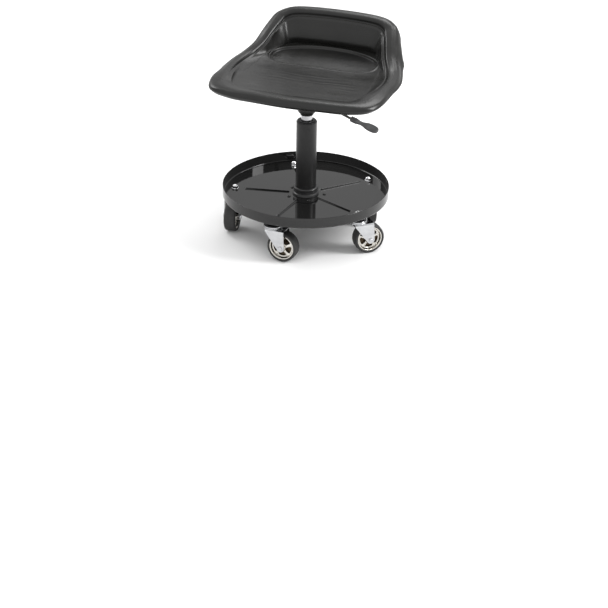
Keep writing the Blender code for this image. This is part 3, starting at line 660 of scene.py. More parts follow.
CYLINDER_HOLE = 0.0033
CYLINDER_WALL = 0.0015
turned("lift_cylinder", [
    (CYLINDER_HOLE, CYLINDER_TOP, 0), (CYLINDER_R - 0.0012, CYLINDER_TOP, 0.0004),
    (CYLINDER_R, CYLINDER_TOP - 0.0030, 0.001), (CYLINDER_R, CYLINDER_LOW, 0.0006),
    (CYLINDER_R - CYLINDER_WALL, CYLINDER_LOW, 0.0004),
    (CYLINDER_R - CYLINDER_WALL, CYLINDER_TOP - 0.004, 0.0006), (CYLINDER_HOLE, CYLINDER_TOP - 0.004, 0),
], 96, ROD_CHROME, "seat", "gas_cylinder")
turned("socket_boss", [
    (BUSH_BORE, SOCKET_TOP, 0), (SOCKET_R, SOCKET_TOP, 0.0002), (SOCKET_R, 0.3222, 0.0015),
    (0.0226, 0.3166, 0.0030), (0.0186, 0.3118, 0.0020), (0.0163, 0.3088, 0.0010),
    (0.0158, SOCKET_LOW, 0.0005), (BUSH_BORE, SOCKET_LOW, 0.0003),
], 112, POWDER, "seat", "cylinder_socket")


def build_weld(bm):
    """A rippled fillet weld round the boss, under the lever housing."""
    steps, ripples = 160, 34
    reach = SOCKET_R + GAP
    rings = []
    for k, a in enumerate(places_round(steps)):
        size = 0.0017 + 0.00022 * sin(k * 2 * pi * ripples / steps) + 0.00010 * sin(k * 1.7)
        middle = Vector((cos(a) * reach, sin(a) * reach, SOCKET_TOP - 0.0021))
        out = Vector((cos(a), sin(a), 0))
        rings.append([middle + size * (cos(b) * out + sin(b) * UP) for b in places_round(10)])
    skin_rings(bm, rings + rings[:1], caps=False)


piece("boss_weld", build_weld, WELD, "seat")

for node in ("lever_housing", "seat_plate"):
    soften(frame["nodes"][node], 0.0007, 3, 35)
for node, material in CAD_LOOKS.items():
    obj = frame["nodes"][node]
    obj.data.materials.clear()
    obj.data.materials.append(material)
    obj.data.shade_smooth()
    obj.data.set_sharp_from_angle(angle=radians(30))


def washer(radius, low, high, steps=4):
    """A disc's (radius, height) outline, softer at its low edge."""
    return filleted([(0, low, 0), (radius, low, 0.0002), (radius, high, 0.0004), (0, high, 0)], False, steps)


def build_bolt(bm, low, top, twist):
    """A bolt from below: washer, hex head under it, and a shank that goes up into the seat."""
    face = low + 0.0044
    turn(bm, washer(0.0065, face, face - 0.0012), 36)
    down = Matrix.Translation((0, 0, face - 0.0011)) @ Matrix.Rotation(pi, 4, "X")
    hexagon(bm, 0.0058, 0, 0.0032, down @ Matrix.Rotation(twist, 4, "Z"))
    shank = [(0, face - 0.0005), (0.0030, face - 0.0005), (0.0030, top - 0.001), (0.0022, top), (0, top)]
    turn(bm, shank, 24)


for i in range(1, 5):
    node = f"seat_bolt_{i}"
    low, high = node_box(node)

    def bolt(bm):
        build_bolt(bm, low.z, high.z, 0.3 * i)

    piece(f"{node}_hex", bolt, STEEL, "seat", [node], under_node(node))

# ---------------------------------------------------------------- lever

PIVOT = Vector(JOINTS["lever_lift"]["pos_m"]) - AXIS
GRIP_START = Vector((0.1105, 0, 0.3115))
GRIP_SLOPE = radians(18)
GRIP_TWIST = radians(30)
ALONG = Vector((cos(GRIP_SLOPE), 0, -sin(GRIP_SLOPE)))
LIFT = Vector((sin(GRIP_SLOPE), 0, cos(GRIP_SLOPE)))
SIDEWAYS = Vector((0, cos(GRIP_TWIST), 0)) + LIFT * sin(GRIP_TWIST)
FACE = LIFT * cos(GRIP_TWIST) - Vector((0, sin(GRIP_TWIST), 0))


def build_lever(bm):
    """A bent wire from the release pin to inside the grip, with a boss on the pivot."""
    route = [
        (-0.006, 0, PIVOT.z + 0.0005), (0.006, 0, PIVOT.z + 0.0003), (0.0165, 0, PIVOT.z),
        (0.026, 0, PIVOT.z - 0.0032), (0.050, 0, 0.3380), (0.077, 0, 0.3254), (0.102, 0, 0.3149),
        tuple(GRIP_START + ALONG * 0.004), tuple(GRIP_START + ALONG * 0.018),
    ]
    sweep(bm, [Vector(p) for p in spline(route, 64)], 0.003, 20)
    boss = [(0.0022, 0.007, 0.0001), (0.005, 0.007, 0.0008)]
    boss += [(radius, -across, fillet) for radius, across, fillet in reversed(boss)]
    turn(bm, filleted(boss, True, 3), 40, True, Matrix.Translation(PIVOT) @ ACROSS)


piece("lever_wire", build_lever, LEVER, "lever", ["lever_rod"])


def build_grip(bm):
    """The paddle, from (distance along, half width, half thickness, squareness) sections."""
    sections = [
        (0.0000, 0.0046, 0.0046, 2.6), (0.0008, 0.0058, 0.0058, 3.2), (0.0060, 0.0062, 0.0060, 3.4),
        (0.0150, 0.0061, 0.0058, 3.4), (0.0190, 0.0056, 0.0052, 2.8), (0.0250, 0.0050, 0.0043, 2.4),
        (0.0310, 0.0053, 0.0037, 2.4), (0.0380, 0.0077, 0.0034, 2.6), (0.0450, 0.0098, 0.0032, 2.8),
        (0.0540, 0.0107, 0.0030, 2.8), (0.0620, 0.0104, 0.0029, 2.8), (0.0680, 0.0086, 0.0026, 2.6),
        (0.0712, 0.0058, 0.0020, 2.4), (0.0726, 0.0026, 0.0012, 2.2),
    ]
    rings = []
    for s, wide, thick, square in spline(sections, 64):
        power = 2 / max(square, 2.0)
        middle = GRIP_START + ALONG * s
        dish = 0.0006 * smooth_step(0.040, 0.052, s) * (1 - smooth_step(0.062, 0.071, s))
        ring = []
        for a in places_round(40):
            x = max(wide, 0.0004) * copysign(abs(cos(a)) ** power, cos(a))
            z = max(thick, 0.0003) * copysign(abs(sin(a)) ** power, sin(a))
            if z > 0:
                z -= dish * (1 - (x / wide) ** 2) * 1.4
            ring.append(middle + SIDEWAYS * x + FACE * z)
        rings.append(ring)
    skin_rings(bm, rings)


piece("lever_grip", build_grip, HANDLE, "lever", ["lever_handle"], angle=60)

# ---------------------------------------------------------------- seat

SEAT_CROWN = (
    (0, -0.148, 0.4035), (0.077, -0.143, 0.4035), (0.142, -0.136, 0.4035), (0.175, -0.110, 0.4045),
    (0.191, -0.066, 0.408), (0.198, -0.010, 0.409), (0.197, 0.046, 0.409), (0.185, 0.093, 0.4145),
    (0.169, 0.129, 0.430), (0.158, 0.160, 0.451), (0.149, 0.190, 0.469), (0.138, 0.214, 0.482),
    (0.101, 0.230, 0.491), (0, 0.236, 0.493),
)
SEAT_UNDER = node_box("moulded_seat")[0].z
RIM_LOW_Z = 0.4035
RISE = 0.0895
STATIONS = 130
HEADING_SPAN = 0.012
OVAL_MIDDLE = (0.0, 0.140)
OVAL_HALF = (0.134, 0.052)
OVAL_BOW = 1.2
OVAL_SQUARENESS = 2.6
OVAL_DEPTH = 0.0054


def crown_line():
    """Crown of the rolled rim, front middle to back middle, with the way outwards at each place."""
    left_front, left_back = [(-x, y, z) for x, y, z in (SEAT_CROWN[1], SEAT_CROWN[-2])]
    crown = [np.array(p, float) for p in (left_front, *SEAT_CROWN, left_back)]
    dense = np.array(curve_between(crown, 1200))
    run = np.concatenate([[0], np.cumsum(np.linalg.norm(np.diff(dense, axis=0), axis=1))])

    def place_at(distance, axes):
        distance = min(max(distance, 0), run[-1])
        return np.array([np.interp(distance, run, dense[:, k]) for k in range(axes)])

    line = []
    for i in range(STATIONS + 1):
        at = run[-1] * i / STATIONS
        heading = place_at(at + HEADING_SPAN, 2) - place_at(at - HEADING_SPAN, 2)
        along = Vector((*heading, 0)).normalized()
        if i in (0, STATIONS):
            along = Vector((-1 if i else 1, 0, 0))
        line.append((Vector(place_at(at, 3)), Vector((along.y, -along.x, 0))))
    return line


def oval_reach(x, y):
    """1 on the oval's edge, less inside it. Its ends are bowed forwards from its middle."""
    across = abs(x - OVAL_MIDDLE[0]) / OVAL_HALF[0]
    deep = abs(y + OVAL_BOW * x * x - OVAL_MIDDLE[1]) / OVAL_HALF[1]
    return (across**OVAL_SQUARENESS + deep**OVAL_SQUARENESS) ** (1 / OVAL_SQUARENESS)


def pan_height(x, y, share):
    """Height of the sitting surface: share is 0 at the pan's middle and 1 where it meets the rim."""
    height = 0.3930 + 0.0058 * share**3 * (1 - 0.8 * smooth_step(0.10, 0.19, y))
    height += 0.0155 * smooth_step(0.050, 0.205, y)
    flutes = smooth_step(-0.120, -0.080, y) * (1 - smooth_step(0.035, 0.060, y))
    flutes *= 1 - smooth_step(0.70, 0.90, share)
    bow = y + 0.0022 * sin(31 * x + 1.3) + 0.0016 * sin(67 * x)
    wave = cos(2 * pi * bow / 0.0175) + 0.6 * cos(2 * pi * bow / 0.0113 + 1.1)
    height += 0.00016 * flutes * wave * (0.55 + 0.45 * sin(24 * x + 46 * y))
    return height


def oval_step(edge):
    """Height of the oval's bead, wall and floor, at a distance outside its edge."""
    bead = 0.0011 * exp(-((edge - 0.0022) / 0.0019) ** 2)
    return bead - OVAL_DEPTH * (1 - smooth_step(-0.0024, 0.0003, edge))


FRONT_RIM = (
    (-0.0080, -0.0006), (-0.0125, -0.0012), (-0.0145, -0.0015), (-0.0155, -0.0017), (-0.0170, -0.0020),
    (-0.0195, -0.0025), (-0.0240, -0.0034),
)
WING_RIM = (
    (-0.0080, -0.0007), (-0.0118, -0.0021), (-0.0138, -0.0052), (-0.0148, -0.0074), (-0.0163, -0.0058),
    (-0.0188, -0.0047), (-0.0235, -0.0062),
)
BACK_RIM = (
    (-0.0080, -0.0010), (-0.0152, -0.0040), (-0.0176, -0.0092), (-0.0176, -0.0152), (-0.0190, -0.0180),
    (-0.0220, -0.0182), (-0.0262, -0.0220),
)
BACK_PANEL = (
    (-0.0300, -0.0310), (-0.0350, -0.0430), (-0.0390, -0.0540), (-0.0412, -0.0620), (-0.0421, -0.0672),
    (-0.0418, -0.0712), (-0.0402, -0.0755), (-0.0384, -0.0795),
)
BACK_FOOT_Z = -0.0834


FAN_MIDDLE = Vector((0, 0.060, 0))


def beside(top, out, distance):
    """A point beside the crown. Deep inside, the lines fan in, which keeps the corners open."""
    fan = smooth_step(0.010, 0.030, -distance) * smooth_step(0.02, 0.09, top.y)
    radial = (Vector((top.x, top.y, 0)) - FAN_MIDDLE).normalized()
    heading = (out * (1 - fan) + radial * fan).normalized()
    return top + heading * (distance / heading.dot(out))


def mixed(first, second, share):
    return (first[0] + (second[0] - first[0]) * share, first[1] + (second[1] - first[1]) * share)


def seat_profile(top, out):
    """Outer, inner and panel points of the seat's section, as (outwards, height), from underside to pan."""
    drop = top.z - RIM_LOW_Z
    rise = smooth_step(0, RISE, drop)
    wing = smooth_step(0, 0.060, drop)
    nose = smooth_step(0, 0.11, -top.y)
    front = smooth_step(-0.02, 0.12, -top.y)
    back = smooth_step(0.10, 0.19, top.y) * rise
    groove = smooth_step(-0.075, 0.050, top.y)
    behind = smooth_step(0.155, 0.231, top.y)
    cheek = smooth_step(-0.08, 0.02, top.y) * (1 - smooth_step(0.05, 0.12, top.y))
    roll = 0.010 + 0.012 * nose
    z = top.z
    low_out = roll + 0.004 - 0.0025 * nose - 0.012 * front - 0.008 * back
    low_out += (0.0065 * (1 - front) + 0.0273 * wing) * (1 - back)
    low = (low_out, 0.388 + 0.012 * wing + 0.0068 * (1 - front))
    under = (roll - 0.014 - 0.020 * rise, 0.3815)
    side = (roll + 0.0085 + 0.012 * wing * (1 - 0.6 * back), z - 0.0117 - 0.26 * drop)
    edge = (0.85 * roll + 0.0043 + 0.003 * wing, z - 0.005 - 0.002 * wing)
    blunt = smooth_step(0.55, 0.97, -out.y)
    shoulder = (0.46 * roll, z - 0.0014)
    shoulder = mixed(shoulder, (0.0062, z - 0.0010), blunt)
    edge = mixed(edge, (0.0124, z - 0.0040), blunt)
    end = smooth_step(0.03, 0.10, -top.y)
    shoulder = mixed(shoulder, (0.0118, z - 0.0008), end * (1 - blunt))
    edge = mixed(edge, (0.0248, z - 0.0046), end * (1 - blunt))
    side = mixed(side, (0.0176, z - 0.0112), blunt)
    low = mixed(low, (0.0248, z - 0.0196), end)
    low = mixed(low, (0.0122, z - 0.0207), blunt)
    under = mixed(under, (0.0100, z - 0.0245), end)
    under = mixed(under, (0.0016, z - 0.0256), blunt)
    outer = [
        (under[0] - 0.012, 0.3770), under, (low[0] - 0.006, low[1] - 0.0035), low,
        ((side[0] + low[0]) / 2 + 0.0012, (side[1] + low[1]) / 2), side, edge,
        shoulder, (0.0, z),
    ]
    inner = [(0.0, z)]
    for (af, bf), (aw, bw), (ab, bb) in zip(FRONT_RIM, WING_RIM, BACK_RIM):
        a = af * (1 - groove) + groove * (aw * (1 - behind) + ab * behind)
        b = bf * (1 - groove) + groove * (bw * (1 - behind) + bb * behind)
        inner.append((a, z + b))
    foot_out = -0.031 - 0.014 * cheek - 0.006 * behind
    foot = beside(top, out, foot_out)
    spare = oval_reach(foot.x, foot.y) - 1.06
    if spare < 0:
        foot_out = min(foot_out - 0.13 * spare, -0.0285)
        foot = beside(top, out, foot_out)
    foot_z = pan_height(foot.x, foot.y, 1.0)
    start = inner[-1]
    fall = start[1] - foot_z
    panel = []
    for k, (ab, bb) in enumerate(BACK_PANEL, 1):
        share = k / (len(BACK_PANEL) + 1)
        slope_out = start[0] + (foot_out - start[0]) * (0.75 * share + 0.25 * share**2.2)
        slope_z = start[1] - fall * (1 - (1 - share) ** 1.7)
        full = start[1] - fall * (bb - BACK_RIM[-1][1]) / (BACK_FOOT_Z - BACK_RIM[-1][1])
        panel.append((slope_out * (1 - behind) + ab * behind, slope_z * (1 - behind) + full * behind))
    panel.append((foot_out, foot_z))
    return outer, inner, panel


OVAL_OFFSETS = (
    -0.0060, -0.0040, -0.0032, -0.0026, -0.0020, -0.0014, -0.0008, -0.0002, 0.0004, 0.0010, 0.0017, 0.0025,
    0.0034, 0.0045, 0.0060,
)
OUTSIDE_RINGS = 70
INSIDE_RINGS = 16


def pan_ray(foot):
    """Points of the pan from its rim to the oval's middle. Rings crowd at the oval's edge and follow it."""
    middle_x, middle_y = OVAL_MIDDLE
    foot_y = foot.y + OVAL_BOW * foot.x**2
    far = hypot(foot.x - middle_x, foot_y - middle_y)
    rim = far / oval_reach(foot.x, foot.y)
    room = far - rim
    places = []
    for i, offset in enumerate(OVAL_OFFSETS):
        if offset > 0:
            offset = min(offset, room * (0.10 + 0.85 * i / len(OVAL_OFFSETS)))
        places.append(rim + offset)
    outside = [far + (places[-1] - far) * k / OUTSIDE_RINGS for k in range(1, OUTSIDE_RINGS)]
    inside = [places[0] * (1 - k / INSIDE_RINGS) for k in range(1, INSIDE_RINGS)]
    points = []
    for place in outside + places[::-1] + inside:
        x = middle_x + (foot.x - middle_x) * place / far
        y = middle_y + (foot_y - middle_y) * place / far - OVAL_BOW * x * x
        share = max(0.0, (place - 0.3 * rim) / (far - 0.3 * rim))
        points.append(Vector((x, y, pan_height(x, y, share) + oval_step(place - rim))))
    return points


def half_rings():
    """Half rings of the seat, front to back, from the flat underside to the oval's middle."""
    underside = ((0.5, SEAT_UNDER), (0.84, SEAT_UNDER), (0.86, SEAT_UNDER + 0.0008), (0.92, 0.3745))
    sections = []
    for top, out in crown_line():
        outer, inner, panel = seat_profile(top, out)
        path = spline(outer, 48)[:-1] + spline(inner, 42)[:-1] + spline([inner[-1]] + panel, 40)
        section = [beside(top, out, float(d)) + Vector((0, 0, float(h) - top.z)) for d, h in path]
        flat = [Vector((section[0].x * scale, section[0].y * scale, z)) for scale, z in underside]
        sections.append(flat + section + pan_ray(section[-1]))
    return [[section[k] for section in sections] for k in range(len(sections[0]))]


def build_seat(bm):
    rings = [[Vector((0, 0.01, SEAT_UNDER))]]
    for half in half_rings():
        other = [Vector((-p.x, p.y, p.z)) for p in reversed(half[1:-1])]
        rings.append(half + other)
    rings.append([Vector((*OVAL_MIDDLE, pan_height(*OVAL_MIDDLE, 0) - OVAL_DEPTH))])
    skin_rings(bm, rings)


seat = piece("seat_moulding", build_seat, SKIN, "seat", ["moulded_seat"], angle=80)

# ---------------------------------------------------------------- casters

TRAIL = 0.0275
WHEEL_R = 0.0375
FORK_TOP = node_box("caster_1_fork")[1].z
FORK_SHEET = 0.0022
FORK_IN = 0.0172
LOBE = 0.0095
FORK_FRONT = -0.013
FORK_REAR = TRAIL + 0.0075
FORK_CORNER = 0.0762
FORK_TANGENT = radians(205)
FORK_COLUMNS = 12


def fork_span(height):
    """Front and back edge of a fork leg at a height."""
    tangent_x, tangent_z = TRAIL + LOBE * cos(FORK_TANGENT), WHEEL_R + LOBE * sin(FORK_TANGENT)
    round_foot = sqrt(max(LOBE**2 - (height - WHEEL_R) ** 2, 0))
    front, rear = TRAIL - round_foot, TRAIL + round_foot
    if height >= FORK_CORNER:
        front = FORK_FRONT
    elif height > tangent_z:
        front = FORK_FRONT + (FORK_CORNER - height) / (FORK_CORNER - tangent_z) * (tangent_x - FORK_FRONT)
    if height >= WHEEL_R:
        rear = TRAIL + LOBE + (FORK_REAR - TRAIL - LOBE) * (height - WHEEL_R) / (FORK_TOP - WHEEL_R)
    return front, rear


def fork_section():
    """(across, height) places of the sheet's middle, from one leg's foot over the top to the other's."""
    middle = FORK_IN + FORK_SHEET / 2
    bend = 0.004 - FORK_SHEET / 2
    top = FORK_TOP - FORK_SHEET / 2
    leg = [WHEEL_R - LOBE * cos(pi / 2 * k / 7) + 1e-5 for k in range(8)]
    leg = sorted(leg) + [0.045, 0.052, 0.060, 0.068, 0.0745, top - bend]
    half = [(middle, h) for h in leg]
    for a in np.linspace(0, pi / 2, 7)[1:]:
        half.append((middle - bend + bend * cos(a), top - bend + bend * sin(a)))
    roof = [(across, top) for across in np.linspace(middle - bend, bend - middle, 9)[1:-1]]
    return half + roof + [(-a, h) for a, h in reversed(half)]


def build_fork(bm):
    """The bent sheet, with a round boss pressed out of each leg at the axle."""
    path = fork_section()
    last = len(path) - 1
    outside, inside = [], []
    for i, (across, height) in enumerate(path):
        before, after = path[max(i - 1, 0)], path[min(i + 1, last)]
        step = Vector((after[0] - before[0], after[1] - before[1])).normalized()
        normal = Vector((step.y, -step.x))
        front, rear = fork_span(min(height, FORK_TOP))
        for rows in (outside, inside):
            rows.append([])
        for k in range(FORK_COLUMNS + 1):
            x = front + (rear - front) * k / FORK_COLUMNS
            bulge = 0.0
            if height < 0.050 and 0 < i < last:
                far = hypot(x - TRAIL, height - WHEEL_R)
                bulge = 0.0006 * (1 - smooth_step(0.0062, 0.0082, far))
            for rows, shift in ((outside, FORK_SHEET / 2 + bulge), (inside, -FORK_SHEET / 2)):
                rows[-1].append((x, across + normal.x * shift, height + normal.y * shift))
    outside, inside = [[[bm.verts.new(p) for p in row] for row in rows] for rows in (outside, inside)]
    for rows in (outside, inside):
        for a, b in zip(rows, rows[1:]):
            for k in range(FORK_COLUMNS):
                face = (a[k], a[k + 1], b[k + 1], b[k])
                bm.faces.new(face if rows is outside else face[:1] + face[:0:-1])

    def border(rows):
        right = [row[-1] for row in rows]
        return [row[0] for row in rows] + rows[-1][1:] + right[-2::-1] + rows[0][-2:0:-1]

    edge = list(zip(border(outside), border(inside)))
    for (a, b), (c, d) in zip(edge, edge[1:] + edge[:1]):
        bm.faces.new((a, c, d, b))


def build_stem(bm):
    """Two pressed cups of the ball race with the gap between them, the shoulder and the stud."""
    shoulder = TRAY_LOW - GAP
    low = FORK_TOP + GAP
    corners = [
        (0, 0.1066, 0), (0.0032, 0.1066, 0.0005), (0.0040, 0.1060, 0.0003), (0.0040, shoulder, 0),
        (0.0088, shoulder, 0.0004), (0.0088, 0.0930, 0.0010), (0.0145, 0.0926, 0.0008),
        (0.0190, 0.0905, 0.0016), (0.0222, 0.0882, 0.0010), (0.0224, 0.0868, 0.0003),
        (0.0205, 0.0862, 0.0002), (0.0205, 0.0852, 0.0002), (0.0225, 0.0846, 0.0004),
        (0.0225, 0.0826, 0.0010), (0.0205, low, 0.0006), (0.0040, low, 0), (0.0040, 0.0786, 0),
        (0.0064, 0.0786, 0.0003), (0.0062, 0.0768, 0.0008), (0, 0.0764, 0),
    ]
    turn(bm, filleted(corners, False, 4), 72)


def build_cap_nut(bm):
    """An acorn nut on a washer."""
    foot = FLOOR_Z + GAP
    top = foot + 0.0012
    ring = [(0.0045, foot, 0), (0.0090, foot, 0.0003), (0.0090, top, 0.0004), (0.0045, top, 0)]
    turn(bm, filleted(ring, True, 3), 48, True)
    hexagon(bm, 0.0075, top, foot + 0.0064, chamfer=0.0006)
    dome = [(0.0061, foot + 0.0061)]
    for a in np.linspace(0.1, pi / 2, 9)[:-1]:
        dome.append((0.0057 * cos(a), foot + 0.0062 + 0.0033 * sin(a)))
    turn(bm, dome + [(0, foot + 0.0095)], 40)


def build_axle(bm):
    """A hex bolt with a washer, and its nut on the other side."""
    face = FORK_IN + FORK_SHEET + 0.0007
    middle = Matrix.Translation((TRAIL, 0, WHEEL_R))
    for side in (1, -1):
        place = middle @ Matrix.Rotation(-side * pi / 2, 4, "X")
        disc = [
            (0, face - 0.0004, 0), (0.0064, face - 0.0004, 0.0002), (0.0064, face + 0.0004, 0.0003),
            (0, face + 0.0004, 0),
        ]
        turn(bm, filleted(disc, False, 3), 40, False, place)
        hexagon(bm, 0.0056, face + 0.0003, face + 0.0026, place @ Matrix.Rotation(0.35, 4, "Z"), 0.0006)
    rod = [
        (0, face + 0.0028), (0.0026, face + 0.0028), (0.0032, face + 0.0022), (0.0032, -face - 0.0012),
        (0, -face - 0.0012),
    ]
    turn(bm, rod, 24, False, middle @ ACROSS)


SPOKES = 5
HUB_R = 0.0085
RIM_R = 0.0308
RIM_HALF = 0.0125
WEB_HALF = 0.0015


def rim_half_thickness(radius, spoke_offset):
    """Half the rim's thickness: hub, crowned spokes, dished barrel and outer lip."""
    if radius < HUB_R + 0.0004:
        return 0.0155 - 0.0012 * smooth_step(HUB_R - 0.0010, HUB_R + 0.0004, radius)
    hub_fall = smooth_step(HUB_R + 0.0004, 0.0118, radius)
    web = 0.0082 - 0.0022 * smooth_step(0.012, 0.021, radius)
    web += 0.0011 * max(0.0, 1 - (spoke_offset / 0.0032) ** 2)
    base = 0.0143 + (web - 0.0143) * hub_fall
    barrel = smooth_step(0.0258, 0.0288, radius)
    return base + (RIM_HALF - base) * barrel


SPOKE_LINES = 6
WINDOW_LINES = 12
SECTOR_LINES = SPOKE_LINES + WINDOW_LINES


def rim_ring(radius):
    """(x, half thickness, z) places round the rim: over each spoke, then over the window beside it."""
    half_spoke = 0.0027 + 0.0010 * (radius - 0.0118) / 0.011
    edge = asin(min(half_spoke / radius, 0.55))
    gap = 2 * pi / SPOKES - 2 * edge
    ring = []
    for sector in range(SPOKES):
        middle = pi / 2 + 2 * pi * sector / SPOKES
        for k in range(SPOKE_LINES):
            share = 2 * k / SPOKE_LINES - 1
            ring.append((middle + edge * share, rim_half_thickness(radius, share * half_spoke)))
        for k in range(WINDOW_LINES):
            ring.append((middle + edge + gap * k / WINDOW_LINES, rim_half_thickness(radius, half_spoke)))
    return [(radius * cos(a), half, radius * sin(a)) for a, half in ring]


def build_rim(bm):
    """Hub, spokes and barrel. A thin web closes the windows between the spokes."""
    radii = [0.0038, 0.0060, 0.0078, HUB_R, 0.0089, 0.0096, 0.0106, 0.0118]
    window_low = len(radii) - 1
    radii += [0.0135, 0.0155, 0.0175, 0.0195, 0.0215, 0.0234]
    window_high = len(radii) - 1
    radii += [0.0250, 0.0258, 0.0265, 0.0272, 0.0279, 0.0288, 0.0296, 0.0303, RIM_R]
    front, back, web = [], [], {}
    for radius in radii:
        ring = rim_ring(radius)
        front.append([bm.verts.new((x, -half, z)) for x, half, z in ring])
        back.append([bm.verts.new((x, half, z)) for x, half, z in ring])
    count = SECTOR_LINES * SPOKES

    def hole(j, i):
        k = i % SECTOR_LINES
        corner = j in (window_low, window_high - 1) and k in (SPOKE_LINES, SECTOR_LINES - 1)
        return window_low <= j < window_high and k >= SPOKE_LINES and not corner

    def deep(spot, side):
        """The vertex of the thin web behind a window's edge."""
        if (spot, side) not in web:
            above = front[spot[0]][spot[1]].co
            web[spot, side] = bm.verts.new((above.x, side * WEB_HALF, above.z))
        return web[spot, side]

    for j in range(len(radii) - 1):
        for i in range(count):
            m = (i + 1) % count
            if hole(j, i):
                for (j2, i2), (a, b) in (
                    ((j - 1, i), ((j, i), (j, m))), ((j + 1, i), ((j + 1, m), (j + 1, i))),
                    ((j, (i - 1) % count), ((j + 1, i), (j, i))), ((j, m), ((j, m), (j + 1, m))),
                ):
                    if not hole(j2, i2):
                        bm.faces.new((front[a[0]][a[1]], front[b[0]][b[1]], deep(b, -1), deep(a, -1)))
                        bm.faces.new((back[b[0]][b[1]], back[a[0]][a[1]], deep(a, 1), deep(b, 1)))
                for side in (-1, 1):
                    bm.faces.new([deep(spot, side) for spot in ((j, i), (j, m), (j + 1, m), (j + 1, i))])
                continue
            bm.faces.new((front[j][i], front[j][m], front[j + 1][m], front[j + 1][i]))
            bm.faces.new((back[j][i], back[j + 1][i], back[j + 1][m], back[j][m]))
    for i in range(count):
        m = (i + 1) % count
        bm.faces.new((front[0][i], back[0][i], back[0][m], front[0][m]))
        bm.faces.new((front[-1][i], front[-1][m], back[-1][m], back[-1][i]))


def build_tyre(bm):
    """A flat-treaded tyre with fine cross ribs, a shoulder radius and a stepped side wall."""
    half = 0.015
    inner = RIM_R + GAP
    wall = [
        (inner, -half + 0.0018, 0.0004), (inner + 0.0008, -half + 0.0006, 0.0006),
        (0.0332, -half + 0.0003, 0.0005), (0.0335, -half + 0.0009, 0.0003), (0.0346, -half + 0.0009, 0.0008),
        (WHEEL_R - 0.0006, -half + 0.0036, 0.0024),
    ]
    other_wall = [(radius, -across, fillet) for radius, across, fillet in reversed(wall)]
    profile = filleted(wall + [(WHEEL_R, 0, 0)] + other_wall)
    rings = []
    for radius, across in profile + profile[:1]:
        tread = smooth_step(0.0352, 0.0366, radius)
        ring = []
        for k, a in enumerate(places_round(264)):
            r = radius - 0.00032 * tread * (k % 3 == 0)
            ring.append((r * cos(a), across, r * sin(a)))
        rings.append(ring)
    skin_rings(bm, rings, caps=False)


for i in CASTERS:
    caster = f"caster_{i}"
    swivel = Vector(JOINTS[f"{caster}_swivel"]["pos_m"])
    wheel = Vector(JOINTS[f"{caster}_roll"]["pos_m"])
    trail = Matrix.Rotation(atan2(wheel.y - swivel.y, wheel.x - swivel.x), 4, "Z")
    stand = Matrix.Translation((swivel.x, swivel.y, 0))
    rolling = Matrix.Translation(wheel) @ trail
    fork_body, wheel_body = f"{caster}_swivel", f"{caster}_wheel"
    for name, build, material, body, slot, node, place, angle in (
        ("race", build_stem, ZINC, "base", "zinc_plate", "stem", stand, 40),
        ("acorn_nut", build_cap_nut, CHROME, "base", "chrome", "cap_nut", stand, 30),
        ("fork_sheet", build_fork, ZINC, fork_body, "zinc_plate", "fork", stand @ trail, 40),
        ("bolt", build_axle, ZINC, fork_body, "zinc_plate", "axle", stand @ trail, 30),
        ("mag_rim", build_rim, RIM_CHROME, wheel_body, "chrome", "rim", rolling, 35),
        ("tread", build_tyre, TYRE, wheel_body, "tyre_rubber", "tyre", rolling, 40),
    ):
        obj = piece(f"{caster}_{name}", build, material, body, [f"{caster}_{node}"], place, angle)
        if name in ("fork_sheet", "mag_rim"):
            soften(obj, 0.0004, 2, 50)

# ---------------------------------------------------------------- stage, light and camera

CAMERA_AZIMUTH = radians(18.6)
CAMERA_TILT = radians(62.56)
CAMERA_ROLL = radians(0.86)
CAMERA_DISTANCE = 4.464
CAMERA_HEIGHT = 2.112
LENS_MM = 118.4


def build_floor():
    mesh = bpy.data.meshes.new("floor")
    mesh.from_pydata([(-9, -9, 0), (9, -9, 0), (9, 9, 0), (-9, 9, 0)], [], [(0, 1, 2, 3)])
    mesh.materials.append(studio_floor())
    floor = bpy.data.objects.new("studio_floor", mesh)
    bpy.context.scene.collection.objects.link(floor)


def add_light(name, place, size, power, target=(0, 0, 0.25)):
    data = bpy.data.lights.new(name, "AREA")
    data.shape = "RECTANGLE"
    data.size, data.size_y = size
    data.energy = power
    light = bpy.data.objects.new(name, data)
    bpy.context.scene.collection.objects.link(light)
    light.location = place
    light.rotation_euler = (Vector(target) - Vector(place)).to_track_quat("-Z", "Y").to_euler()


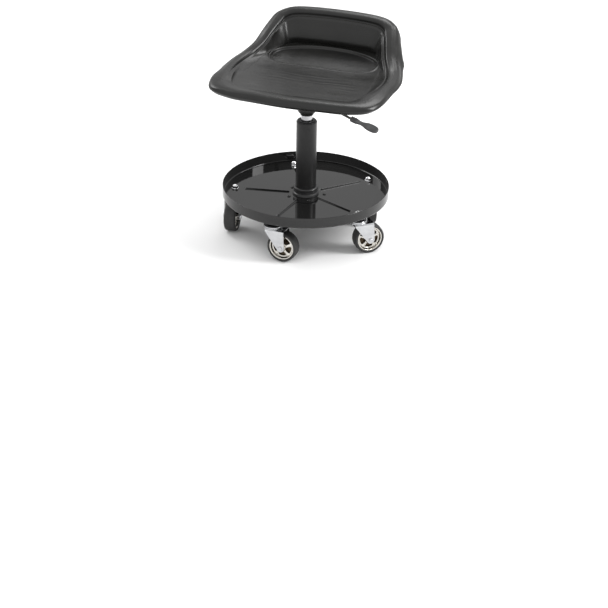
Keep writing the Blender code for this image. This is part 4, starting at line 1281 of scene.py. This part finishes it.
def add_world():
    """A white studio all round, brighter overhead and in front of the object."""
    world = bpy.data.worlds.new("studio")
    bpy.context.scene.world = world
    world.use_nodes = True
    tree = world.node_tree
    heading = tree.nodes.new("ShaderNodeTexCoord")
    total = tree.nodes.new("ShaderNodeMath")
    glows = ((UP, 0.45, 0.95, 0.74, 1.15), ((-0.10, -0.96, 0.26), 0.35, 0.95, 0.0, 0.60))
    for socket, (direction, start, end, low, high) in zip(total.inputs, glows):
        toward = tree.nodes.new("ShaderNodeVectorMath")
        toward.operation = "DOT_PRODUCT"
        toward.inputs[1].default_value = direction
        glow = tree.nodes.new("ShaderNodeMapRange")
        glow.interpolation_type = "SMOOTHSTEP"
        for name, number in (("From Min", start), ("From Max", end), ("To Min", low), ("To Max", high)):
            glow.inputs[name].default_value = number
        tree.links.new(heading.outputs["Generated"], toward.inputs[0])
        tree.links.new(toward.outputs["Value"], glow.inputs["Value"])
        tree.links.new(glow.outputs["Result"], socket)
    background = tree.nodes["Background"]
    background.inputs["Color"].default_value = (1.0, 1.0, 1.0, 1)
    tree.links.new(total.outputs["Value"], background.inputs["Strength"])


def add_camera():
    data = bpy.data.cameras.new("camera")
    data.sensor_width = 36
    data.lens = LENS_MM
    camera = bpy.data.objects.new("camera", data)
    bpy.context.scene.collection.objects.link(camera)
    side = CAMERA_DISTANCE * sin(CAMERA_AZIMUTH)
    back = CAMERA_DISTANCE * cos(CAMERA_AZIMUTH)
    turned_to = Matrix.Rotation(CAMERA_AZIMUTH, 4, "Z") @ Matrix.Rotation(CAMERA_TILT, 4, "X")
    place = Matrix.Translation(AXIS + Vector((side, -back, CAMERA_HEIGHT)))
    camera.matrix_world = place @ turned_to @ Matrix.Rotation(CAMERA_ROLL, 4, "Z")
    bpy.context.scene.camera = camera


build_floor()
add_world()
add_light("right_strip", (2.2, 0.20, 1.7), (0.8, 1.1), 62)
add_light("left_strip", (-2.1, 0.7, 1.8), (1.0, 1.4), 27)
add_light("top_box", (0.1, 1.6, 2.3), (1.6, 0.8), 24)
add_camera()
bpy.context.scene.view_settings.view_transform = "Standard"
